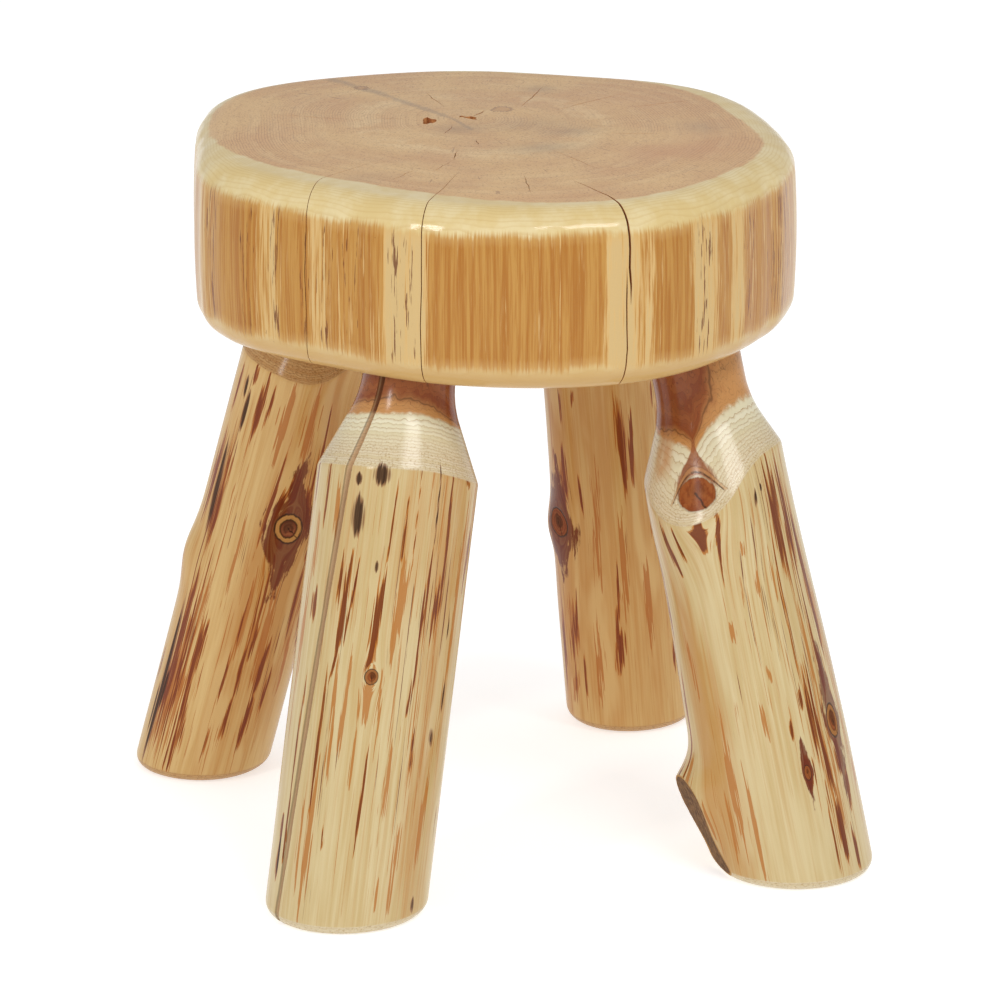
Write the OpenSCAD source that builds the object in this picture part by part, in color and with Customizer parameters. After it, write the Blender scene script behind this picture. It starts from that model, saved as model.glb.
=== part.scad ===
// Rustic log footstool: a thick slab of a log on four peeled log legs.
// Each leg ends in a turned round tenon with a coved shoulder, glued into a blind mortise under the slab.
// The stool stands on z = 0 with its centre over the origin, and its front faces -Y.

/* [Stool] */
// Height from the floor to the top of the seat
stool_height = 406; // [360:1:480]

/* [Seat slab] */
// Thickness of the slab
slab_thickness = 103.5; // [92:0.5:125]
// Mean radius of the slab
slab_radius = 172; // [162:1:200]
// Radius of the rounded top edge
slab_top_round = 18; // [6:1:24]
// Radius of the rounded bottom edge
slab_bottom_round = 17; // [6:1:20]
// Share of the tree's own swell that the slab's outline keeps
slab_swell = 1; // [0:0.1:1.2]
// Width of the slab's main drying check where it opens at the side
slab_check_width = 3; // [1:0.5:5]
// Depth of that check, measured in from the side
slab_check_depth = 32; // [12:1:40]

/* [Tenon joints] */
// Diameter of the tenon turned on each leg
tenon_d = 52; // [44:0.5:56]
// Length of the tenon that stands in the slab
tenon_length = 64; // [40:1:70]
// Chamfer round the tenon's end
tenon_chamfer = 2; // [0.5:0.5:5]
// Gap for glue all round the tenon
glue_gap = 0.1; // [0.05:0.05:0.3]
// Space for glue between the tenon's end and the bottom of its mortise
mortise_relief = 1.5; // [0.5:0.5:4]
// Distance of the mortises in from the slab's mean edge
mortise_inset = 55.5; // [50:0.5:70]

/* [Shoulders] */
// Radius of the cove between the tenon and the log
cove_radius = 60; // [40:1:90]
// Slope at which the cove runs out to the skin of the log
cove_slope = 24; // [18:1:35]
// Straight neck that shows under the slab on a leg driven home
neck = 6.5; // [6.5:0.5:14]
// Neck on the front right leg, whose knot keeps its shoulder lower
front_right_neck = 27; // [7:0.5:34]

/* [Legs] */
// Lean of the legs from upright, before each leg's own small difference
splay = 14; // [9:0.5:17]
// Radius of the rounded edge at each foot
foot_round = 8; // [3:0.5:14]

/* [Log diameters] */
// Front left leg at its foot
front_left_foot_d = 87; // [78:1:96]
// Front left leg under its shoulder
front_left_top_d = 87; // [78:1:96]
// Front right leg at its foot
front_right_foot_d = 89; // [80:1:98]
// Front right leg under its shoulder
front_right_top_d = 79; // [72:1:90]
// Back left leg at its foot
back_left_foot_d = 77; // [70:1:88]
// Back left leg under its shoulder
back_left_top_d = 76; // [70:1:88]
// Back right leg at its foot
back_right_foot_d = 76; // [68:1:86]
// Back right leg under its shoulder
back_right_top_d = 71; // [66:1:80]

/* [Knots and checks] */
// Height of the swelling round the big knot in the front right leg's shoulder
shoulder_knot_swell = 12; // [6:0.5:14]
// How far the sawn branch stub stands out of the front right leg
stub_reach = 10.5; // [7:0.5:12]
// Width of the front left leg's long drying check
leg_check_width = 3.5; // [1:0.5:5]
// Depth of that check
leg_check_depth = 6; // [2:0.5:12]

/* [Hidden] */

$fn = 96;

// The slab
underside = stool_height - slab_thickness;
slab_centre = slab_radius * [0.003, 0.0494];
// Swells of the slab's outline: how many go round, height as a share of the radius, bearing of the first
slab_lobes = [
    [2, 0.0413, -55], [3, 0.0244, 17], [4, 0.0198, 19],
    [5, 0.0105, -26], [6, 0.0087, 12], [7, 0.0116, -25]];
slab_belly = slab_swell * 0.006 * slab_radius;
// Drying checks down the slab's side: bearing, share of the main check's width, share of its depth
slab_checks = [[212, 0.35, 0.35], [238, 0.3, 0.35], [276, 1, 1]];
slab_columns = 90;
round_steps = 5;

// The joints
tenon_r = tenon_d / 2;
mortise_circle = slab_radius - mortise_inset;
mortise_depth = tenon_length + mortise_relief;
cove_run = cove_radius * sin(cove_slope);
cove_rise = cove_radius * (1 - cos(cove_slope));
cove_steps = 6;

// The log skins
leg_columns = 44;
leg_rings = 18;
log_reach = 70;
hidden_top = 6;

// One leg: mortise's bearing, share that it lies out of the mortise circle, turn of its lean off that bearing,
// its own lean on top of the splay, neck, foot diameter, top diameter, lobes, knots, drying check.
// A lobe is [count, height, turn]. A knot is [turn, distance up, height, half width, half length].
// A check is [turn at the foot, drift in turn up the leg, width, depth].
FRONT_LEFT = [225.8, -0.0446, -6.6, -0.8, neck, front_left_foot_d, front_left_top_d,
    [[2, 1.7, 120], [3, 0.5, 20]],
    [],
    [-29, 26, leg_check_width, leg_check_depth]];
FRONT_RIGHT = [317.9, 0.024, -10.4, -0.3, front_right_neck, front_right_foot_d, front_right_top_d,
    [[1, 0.9, 215], [2, 0.6, 70]],
    [[283, 218, shoulder_knot_swell, 36, 34], [224, 52, stub_reach, 18, 17], [211, 37, stub_reach * 0.84, 19.5, 20.5]],
    []];
BACK_LEFT = [131.7, -0.0369, 3.6, 1.8, neck, back_left_foot_d, back_left_top_d,
    [[2, 0.5, 70], [3, 0.4, 10]],
    [[32, 136, 3.5, 14, 18], [161, 262, -5, 16, 30]],
    []];
BACK_RIGHT = [43, 0.0584, 9.4, 0, neck, back_right_foot_d, back_right_top_d,
    [[1, 1, 105], [3, 0.4, 50]],
    [[115, 140, 3, 13, 15]],
    []];

function bearing(leg) = leg[0];
function place(leg) = mortise_circle * (1 + leg[1]) * [cos(bearing(leg)), sin(bearing(leg))];
function heading(leg) = bearing(leg) + leg[2];
function lean(leg) = splay + leg[3];
function neck_of(leg) = leg[4];
function axis_length(leg) = underside / cos(lean(leg));

// A value that eases from 0 to 1 as x does
function eased(x) = let (c = min(1, max(0, x))) c * c * (3 - 2 * c);

// Angle between two bearings, from -180 to 180
function turn_between(a, b) = let (d = (a - b) % 360) d > 180 ? d - 360 : d < -180 ? d + 360 : d;

// Sum of wavy lobes at a bearing
function lobes_at(lobes, a) = [for (l = lobes) l[1] * cos(l[0] * (a - l[2]))] * [for (l = lobes) 1];

// Outline of the slab, with its slope for the rounded edges
function slab_r(a) = slab_radius * (1 + slab_swell * lobes_at(slab_lobes, a));
function slab_normal(a) =
    let (slope = (slab_r(a + 0.5) - slab_r(a - 0.5)) * 180 / PI,
         n = [slab_r(a) * cos(a) + slope * sin(a), slab_r(a) * sin(a) - slope * cos(a)])
    n / norm(n);

// Heights and insets of the slab's rings, from its underside to its top
slab_rings = concat(
    [for (k = [0:round_steps]) let (a = 90 * k / round_steps)
        [slab_bottom_round * (1 - cos(a)), slab_bottom_round * (1 - sin(a))]],
    [[slab_thickness / 2, -slab_belly]],
    [for (k = [0:round_steps]) let (a = 90 * k / round_steps)
        [slab_thickness - slab_top_round * (1 - sin(a)), slab_top_round * (1 - cos(a))]]);

function slab_point(a, ring) =
    let (xy = slab_centre + [cos(a), sin(a)] * slab_r(a) - slab_normal(a) * ring[1])
    [xy[0], xy[1], underside + ring[0]];

// Skin between rings of points that all have the same count, with a flat cap at each end
module ringed_solid(rings) {
    n = len(rings[0]);
    last = len(rings) - 1;
    polyhedron(
        points = [for (ring = rings) each ring],
        faces = concat(
            [[for (k = [0:n - 1]) k]],
            [for (j = [0:last - 1], k = [0:n - 1]) each
                [[j * n + k, (j + 1) * n + k, (j + 1) * n + (k + 1) % n],
                 [j * n + k, (j + 1) * n + (k + 1) % n, j * n + (k + 1) % n]]],
            [[for (k = [n - 1:-1:0]) last * n + k]]));
}

// Carries a shape from a leg's own axis, which is +Z from the slab's underside up, to its place in the stool
module along_axis(leg) {
    translate([place(leg)[0], place(leg)[1], underside])
        rotate([0, 0, heading(leg)])
            rotate([0, -lean(leg), 0])
                children();
}

module mortise(leg) {
    along_axis(leg)
        translate([0, 0, -tenon_r])
            cylinder(h = tenon_r + mortise_depth, r = tenon_r + glue_gap);
}

// A drying check runs the slab's full height and closes to nothing towards the heart
module slab_check(check) {
    width = slab_check_width * check[1];
    depth = slab_check_depth * check[2];
    side = slab_r(check[0]);
    past = 6;
    translate([slab_centre[0], slab_centre[1], underside - past])
        rotate([0, 0, check[0]])
            linear_extrude(height = slab_thickness + 2 * past)
                polygon([[side - depth, 0], [side + past, -width * (depth + past) / depth / 2],
                         [side + past, width * (depth + past) / depth / 2]]);
}

module slab_body() {
    difference() {
        ringed_solid([for (ring = slab_rings) [for (k = [0:slab_columns - 1]) slab_point(360 * k / slab_columns, ring)]]);
        for (leg = [FRONT_LEFT, FRONT_RIGHT, BACK_LEFT, BACK_RIGHT])
            mortise(leg);
        for (check = slab_checks)
            slab_check(check);
    }
}

// Swelling that a leg's knots give its skin, at a turn and a distance up from the foot
function knots_at(leg, a, up) =
    len(leg[8]) == 0 ? 0 :
    [for (k = leg[8])
        let (around = turn_between(a, k[0]) * PI / 180 * leg[5] / 2)
        k[2] * exp(-pow(around / k[3], 2) - pow((up - k[1]) / k[4], 2))] * [for (k = leg[8]) 1];

// Radius of a leg's log: its foot eases into its top, with lobes and knots
function log_r(leg, a, up) =
    let (share = eased((up / axis_length(leg) - 0.2) / 0.55))
    (leg[5] * (1 - share) + leg[6] * share) / 2 + lobes_at(leg[7], a) + knots_at(leg, a, up);

// Turns of a leg's columns: even, or with the two lips and the bottom of its check
function leg_turns(leg) =
    len(leg[9]) == 0 ? [for (k = [0:leg_columns - 1]) [360 * k / leg_columns, 0]] :
    let (half = asin(leg[9][2] / leg[5]))
    concat([[-half, 0], [0, 1]],
        [for (k = [0:leg_columns - 3]) [half + (360 - 2 * half) * k / (leg_columns - 2), 0]]);

// Turn of the check at a distance up the leg: it follows the grain, which spirals a little
function check_turn(leg, up) = len(leg[9]) == 0 ? 0 : leg[9][0] + leg[9][1] * up / axis_length(leg);

// Radius that the tenon cutter leaves at a distance below the slab
function turned_r(leg, below) =
    let (x = below - neck_of(leg))
    x <= 0 ? tenon_r :
    x < cove_run ? tenon_r + cove_radius - sqrt(pow(cove_radius, 2) - pow(x, 2)) :
    tenon_r + cove_rise + (x - cove_run) * tan(cove_slope);

// Radius of a column of the skin: a check's bottom lies the same depth under the skin and under the shoulder
function column_r(leg, a, up, in_check) =
    let (skin = log_r(leg, a, up), below = axis_length(leg) - up)
    in_check && below > 0 ? min(skin, turned_r(leg, below)) - leg[9][3] : skin;

// A ring of the skin: level at the foot, and square to the leg's axis from halfway up
function leg_ring(leg, up, inset) =
    let (tilt = lean(leg) * eased(2 * up / axis_length(leg)),
         stretch = 1 / cos(lean(leg) - tilt),
         down = up - axis_length(leg),
         centre = [-sin(lean(leg)) * down, 0, cos(lean(leg)) * down],
         start = check_turn(leg, up))
    [for (column = leg_turns(leg))
        let (a = column[0] + start, r = column_r(leg, a, up, column[1] == 1) - inset)
        centre + [r * cos(a) * cos(tilt) * stretch, r * sin(a), r * cos(a) * sin(tilt) * stretch]];

module log_skin(leg) {
    l = axis_length(leg);
    first = foot_round / cos(lean(leg));
    foot = [for (k = [0:3]) let (a = 22.5 * k)
        leg_ring(leg, first * (1 - cos(a)), foot_round * (1 - sin(a)))];
    shaft = [for (k = [0:leg_rings]) leg_ring(leg, first + (l - 2 * neck - first) * k / leg_rings, 0)];
    top = [leg_ring(leg, l + tenon_length + hidden_top, 0)];
    translate([place(leg)[0], place(leg)[1], underside])
        rotate([0, 0, heading(leg)])
            ringed_solid(concat(foot, shaft, top));
}

// What the tenon cutter leaves: tenon, straight neck, cove and its run-out, over an untouched log
module turned_form(leg) {
    cove = [for (k = [cove_steps:-1:0]) let (a = cove_slope * k / cove_steps)
        [tenon_r + cove_radius * (1 - cos(a)), -neck_of(leg) - cove_radius * sin(a)]];
    run_out = (log_reach - tenon_r - cove_rise) / tan(cove_slope);
    low = -axis_length(leg) - log_reach;
    rotate_extrude()
        polygon(concat(
            [[0, low], [log_reach, low], [log_reach, -neck_of(leg) - cove_run - run_out]],
            cove,
            [[tenon_r, tenon_length - tenon_chamfer], [tenon_r - tenon_chamfer, tenon_length], [0, tenon_length]]));
}

// Saw cut across the branch stub: it stands out most at its upper end
module stub_saw_cut() {
    cut_low = 18;
    cut_high = 60;
    cut_r = front_right_foot_d / 2;
    cut_lean = atan((stub_reach - 1.5) / (cut_high - cut_low));
    along_axis(FRONT_RIGHT)
        rotate([0, 0, 233])
            translate([cut_r + 1.4, 0, cut_low - axis_length(FRONT_RIGHT)])
                rotate([0, cut_lean, 0])
                    translate([0, -40, -30])
                        cube([40, 80, 110]);
}

module log_leg(leg) {
    intersection() {
        log_skin(leg);
        along_axis(leg)
            turned_form(leg);
    }
}

module seat_slab() {
    color("burlywood")
        slab_body();
}

module leg_front_left() {
    color("wheat")
        log_leg(FRONT_LEFT);
}

module leg_front_right() {
    color("wheat")
        difference() {
            log_leg(FRONT_RIGHT);
            stub_saw_cut();
        }
}

module leg_back_left() {
    color("tan")
        log_leg(BACK_LEFT);
}

module leg_back_right() {
    color("tan")
        log_leg(BACK_RIGHT);
}

seat_slab();
leg_front_left();
leg_front_right();
leg_back_left();
leg_back_right();
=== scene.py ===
import math

import bmesh
import bpy
import numpy as np
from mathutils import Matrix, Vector


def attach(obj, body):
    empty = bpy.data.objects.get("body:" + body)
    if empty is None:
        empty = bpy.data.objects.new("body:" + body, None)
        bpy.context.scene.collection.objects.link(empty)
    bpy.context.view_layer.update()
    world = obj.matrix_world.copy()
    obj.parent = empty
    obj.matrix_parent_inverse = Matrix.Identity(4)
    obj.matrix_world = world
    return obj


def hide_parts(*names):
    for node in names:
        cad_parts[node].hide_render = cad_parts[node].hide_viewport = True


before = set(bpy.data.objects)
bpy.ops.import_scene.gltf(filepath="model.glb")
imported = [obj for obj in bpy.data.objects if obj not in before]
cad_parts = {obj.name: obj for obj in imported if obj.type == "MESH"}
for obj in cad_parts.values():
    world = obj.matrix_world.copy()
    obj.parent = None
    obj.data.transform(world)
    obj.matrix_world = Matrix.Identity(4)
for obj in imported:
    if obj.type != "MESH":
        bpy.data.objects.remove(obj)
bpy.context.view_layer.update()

mm = 0.001
fullTurn = 2 * math.pi


def paint(red, green, blue):
    # a paint chip's screen numbers, as Blender's linear colour
    chip = [c / 255 for c in (red, green, blue)]
    return tuple(c / 12.92 if c < 0.0404 else ((c + 0.055) / 1.055) ** 2.4 for c in chip) + (1.0,)


def newObject(name, data):
    obj = bpy.data.objects.new(name, data)
    bpy.context.scene.collection.objects.link(obj)
    return obj


class Wire:
    # one output of a node, so that a tree can be written as plain formulas
    def __init__(self, board, socket):
        self.board = board
        self.socket = socket


# a + b, a * b and the like each put a node on the board
signs = {"add": "ADD", "sub": "SUBTRACT", "mul": "MULTIPLY", "truediv": "DIVIDE", "pow": "POWER"}
for sign, operation in signs.items():
    setattr(Wire, f"__{sign}__", lambda a, b, step=operation: a.board.math(step, a, b))
    setattr(Wire, f"__r{sign}__", lambda a, b, step=operation: a.board.math(step, b, a))


class Board:
    # a node tree, with short ways to put nodes on it; a material's board also knows its look
    def __init__(self, tree, look=None):
        self.tree = tree
        self.look = look
        self.placed = 0

    def node(self, kind, values=(), **settings):
        made = self.tree.nodes.new(kind)
        for name, value in settings.items():
            setattr(made, name, value)
        for key, value in dict(values).items():
            if isinstance(value, Wire):
                self.tree.links.new(value.socket, made.inputs[key])
            else:
                made.inputs[key].default_value = value
        made.location = (190 * (self.placed % 16), -260 * (self.placed // 16))
        self.placed += 1
        return made

    def out(self, made, name=0):
        return Wire(self, made.outputs[name])

    def math(self, operation, *values):
        # three numbers in brackets make it a sum on vectors
        kind = "ShaderNodeVectorMath" if tuple in map(type, values) else "ShaderNodeMath"
        return self.out(self.node(kind, enumerate(values), operation=operation))

    def low(self, a, b):
        return self.math("MINIMUM", a, b)

    def high(self, a, b):
        return self.math("MAXIMUM", a, b)

    def cos(self, degrees):
        return self.math("COSINE", self.math("RADIANS", degrees))

    def sin(self, degrees):
        return self.math("SINE", self.math("RADIANS", degrees))

    def ramp(self, value, low, high, toLow=0.0, toHigh=1.0, shape="LINEAR"):
        return self.out(self.node("ShaderNodeMapRange", {0: value, 1: low, 2: high, 3: toLow, 4: toHigh},
                                  interpolation_type=shape, clamp=True))

    def ease(self, value, low, high):
        return self.ramp(value, low, high, shape="SMOOTHSTEP")

    def line(self, value, outer, inner):
        # a thin line where the value is nought
        return self.ramp(self.math("ABSOLUTE", value), outer, inner)

    def vector(self, x, y, z):
        return self.out(self.node("ShaderNodeCombineXYZ", {0: x, 1: y, 2: z}))

    def parts(self, value):
        return [Wire(self, s) for s in self.node("ShaderNodeSeparateXYZ", {0: value}).outputs]

    def noise(self, at, detail=2.0, roughness=0.5):
        values = {"Vector": at, "Scale": 1.0, "Detail": detail, "Roughness": roughness}
        return self.out(self.node("ShaderNodeTexNoise", values))

    def blend(self, share, a, b):
        # a colour goes by its name in the look, or comes from other nodes
        a, b = (self.look[c] if isinstance(c, str) else c for c in (a, b))
        return self.out(self.node("ShaderNodeMix", {0: share, 6: a, 7: b}, data_type="RGBA"), 2)

    def coats(self, colour, *layers):
        # lays one colour after another over the first, each where its mask lets it
        for mask, coat in layers:
            colour = self.blend(mask, colour, coat)
        return colour

    def attribute(self, name, output="Fac"):
        return self.out(self.node("ShaderNodeAttribute", attribute_name=name), output)

    def group(self, tree, values):
        return {s.name: Wire(self, s) for s in self.node("ShaderNodeGroup", values, node_tree=tree).outputs}


socketKinds = {float: "NodeSocketFloat", int: "NodeSocketInt", 3: "NodeSocketVector", 4: "NodeSocketColor"}


def addSockets(tree, side, sockets):
    for label, value in sockets.items():
        kind = socketKinds[len(value) if isinstance(value, tuple) else type(value)]
        made = tree.interface.new_socket(name=label, in_out=side, socket_type=kind)
        if side == "INPUT":
            made.default_value = value


def shaderGroup(name, inputs, outputs, build):
    tree = bpy.data.node_groups.new(name, "ShaderNodeTree")
    addSockets(tree, "INPUT", inputs)
    addSockets(tree, "OUTPUT", outputs)
    board = Board(tree)
    start = board.node("NodeGroupInput")
    results = build(board, *[Wire(board, start.outputs[label]) for label in inputs])
    board.node("NodeGroupOutput", dict(zip(outputs, results)))
    return tree


# Shader node groups: what several of the woods share
def buildStreaks(board, at, width, length, cut, soft, seed):
    # long thin marks that run along the grain
    x, y, z = board.parts(at)
    spread = board.vector(x / width + seed, y / width, z / length)
    return [board.ease(board.noise(spread, 3.0, 0.6), cut - soft, cut + soft)]


def buildMarks(board, field, at, ragged, soft):
    # turns a smooth field of marks into marks that break up into fibres, with a darker core
    fibres = board.noise(at / (1.2, 1.2, 44.0), 2.0, 0.6)
    bundles = board.noise(at / (2.2, 2.2, 80.0), 1.0)
    torn = field * 0.8 + (fibres - 0.5) * ragged + (bundles - 0.5) * ragged * 0.5
    return [board.ease(torn, -1.0 * soft, soft), board.ease(torn, 0.15, 0.4)]


def buildRings(board, depth, at, spacing, wobble):
    # growth rings: thin dark latewood lines, each ring a little different
    place = (depth + (board.noise(at) - 0.5) * wobble) / spacing
    share, ring = board.math("FRACT", place), board.math("FLOOR", place)
    beforeNext = board.ramp(share, 0.93, 1.0, 1.0, 0.0)
    late = board.ease(share, 0.5, 0.92) * beforeNext
    thin = board.ramp(share, 0.84, 0.92) * beforeNext
    dark = board.out(board.node("ShaderNodeTexWhiteNoise", {"W": ring}, noise_dimensions="1D"))
    return [late * board.ramp(dark, 0.0, 1.0, 0.4, 1.0), dark, thin * board.ramp(dark, 0.0, 1.0, 0.3, 1.0)]


def buildKnot(board, reach, spindle, halo, local, at):
    # a knot seen end on; reach is 1 at its rim, spindle is 1 at the edge of the dark grain round it
    ramp, ease, line, noise, high = board.ramp, board.ease, board.line, board.noise, board.high
    x, y, style = board.parts(local)
    ringed = ramp(style, 0.0, 1.0) * ramp(style, 1.2, 1.8, 1.0, 0.0)
    lidded = ramp(style, 1.2, 1.8)
    near = ramp(reach, 3.7, 3.3)
    rough = noise(at, 3.0, 0.6)
    rim = reach + (rough - 0.5) * 0.24
    core = ramp(rim, 1.02, 0.94)
    edge = line(rim - 1.0, 0.1, 0.03) * (1.0 - lidded * 0.7)
    inner = line(rim - 0.62, 0.09, 0.03) * ringed
    pale = core * ramp(rim, 0.58, 0.66) * ringed
    off = board.math("SQRT", (x - 0.05) ** 2.0 + (y - 0.2) * (y - 0.2))
    blot = ramp(off + (rough - 0.5) * 0.9, 0.6, 0.3) * core * (1.0 - lidded * 0.6)
    crack = line(x * 0.9 + y * 0.42 + (rough - 0.5) * 0.35, 0.06, 0.02) * core * ramp(y, 0.15, 0.05)
    swirl = (board.math("SINE", reach * 24.0 + rough * 9.0) * 0.5 + 0.5) * (1.0 - lidded)
    swirl = swirl + ease(rough, 0.4, 0.6) * lidded

    # a knot in the shoulder: two lids over it and a cone of red wood above them
    arch = y + x * x * (0.9 - x * 0.15) + (rough - 0.5) * 0.25
    above = ramp(y - x * 0.17, -0.35, -0.2) * near * lidded
    lids = high(line(arch - 1.62, 0.07, 0.02) * 0.35, line(arch - 1.3, 0.1, 0.03) * ease(rough, 0.3, 0.55)) * above
    lidBand = ramp(arch, 1.22, 1.3) * ramp(arch, 1.66, 1.58) * above
    narrowing = ease(y, 2.9, 0.6) + 0.13
    cone = ramp(board.math("ABSOLUTE", x) / narrowing + (rough - 0.5) * 0.5, 1.1, 0.85)
    cone = cone * ramp(arch, 1.0, 1.2) * ramp(y, 3.3, 2.7) * near * lidded
    flame = spindle + (noise(at, 4.0, 0.65) - 0.5) * 1.1 + (noise(at * (0.3, 0.3, 0.4), 1.0) - 0.5) * 1.2
    flame = ramp(flame, 1.06, 0.9) * halo
    return [core, high(high(edge, inner), high(crack, lids)), pale, blot, flame, swirl, lidBand, cone]


point = (0.0, 0.0, 0.0)
streakGroup = shaderGroup(
    "grain streaks", {"At": point, "Width": 1.5, "Length": 40.0, "Cut": 0.6, "Soft": 0.03, "Seed": 0.0},
    {"Mask": 0.0}, buildStreaks)
markGroup = shaderGroup(
    "fibrous marks", {"Field": 0.0, "At": point, "Ragged": 1.6, "Soft": 0.3}, {"Edge": 0.0, "Core": 0.0}, buildMarks)
ringGroup = shaderGroup(
    "growth rings", {"Depth": 0.0, "At": point, "Spacing": 1.5, "Wobble": 1.0},
    dict.fromkeys(("Line", "Tone", "Thin"), 0.0), buildRings)
knotGroup = shaderGroup(
    "knot", {"Reach": 9.0, "Spindle": 9.0, "Halo strength": 0.0, "Local": point, "At": point},
    dict.fromkeys(("Core", "Line", "Pale", "Blot", "Halo", "Swirl", "Lid", "Cone"), 0.0), buildKnot)
print("shader groups ready")


def woodMaterial(name, look=None):
    material = bpy.data.materials.new(name)
    material.use_nodes = True
    material.node_tree.nodes.clear()
    return material, Board(material.node_tree, look)


def finishMaterial(board, colour, roughness, height, gloss=1.0):
    # the clear gloss lacquer is the same on every piece of wood
    look = board.look
    bump = board.node("ShaderNodeBump", {"Strength": look["bump"], "Distance": 0.001, "Height": height})
    shader = board.node("ShaderNodeBsdfPrincipled", {
        "Base Color": colour, "Roughness": roughness, "Normal": board.out(bump),
        "Coat Weight": gloss * look["coat"], "Coat Roughness": look["coatRoughness"], "Coat IOR": 1.5,
        "IOR": 1.45, "Specular IOR Level": 0.03})
    board.node("ShaderNodeOutputMaterial", {"Surface": board.out(shader)})


# Legs
stool = {"height": 406.0, "slabThickness": 103.5, "mortiseCircle": 116.5, "splay": 14.0,
         "glueGap": 0.1, "endRelief": 1.5}
underside = stool["height"] - stool["slabThickness"]
heartAt = 13.0  # each leg's ring depths are shifted so that its heartwood begins here

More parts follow.
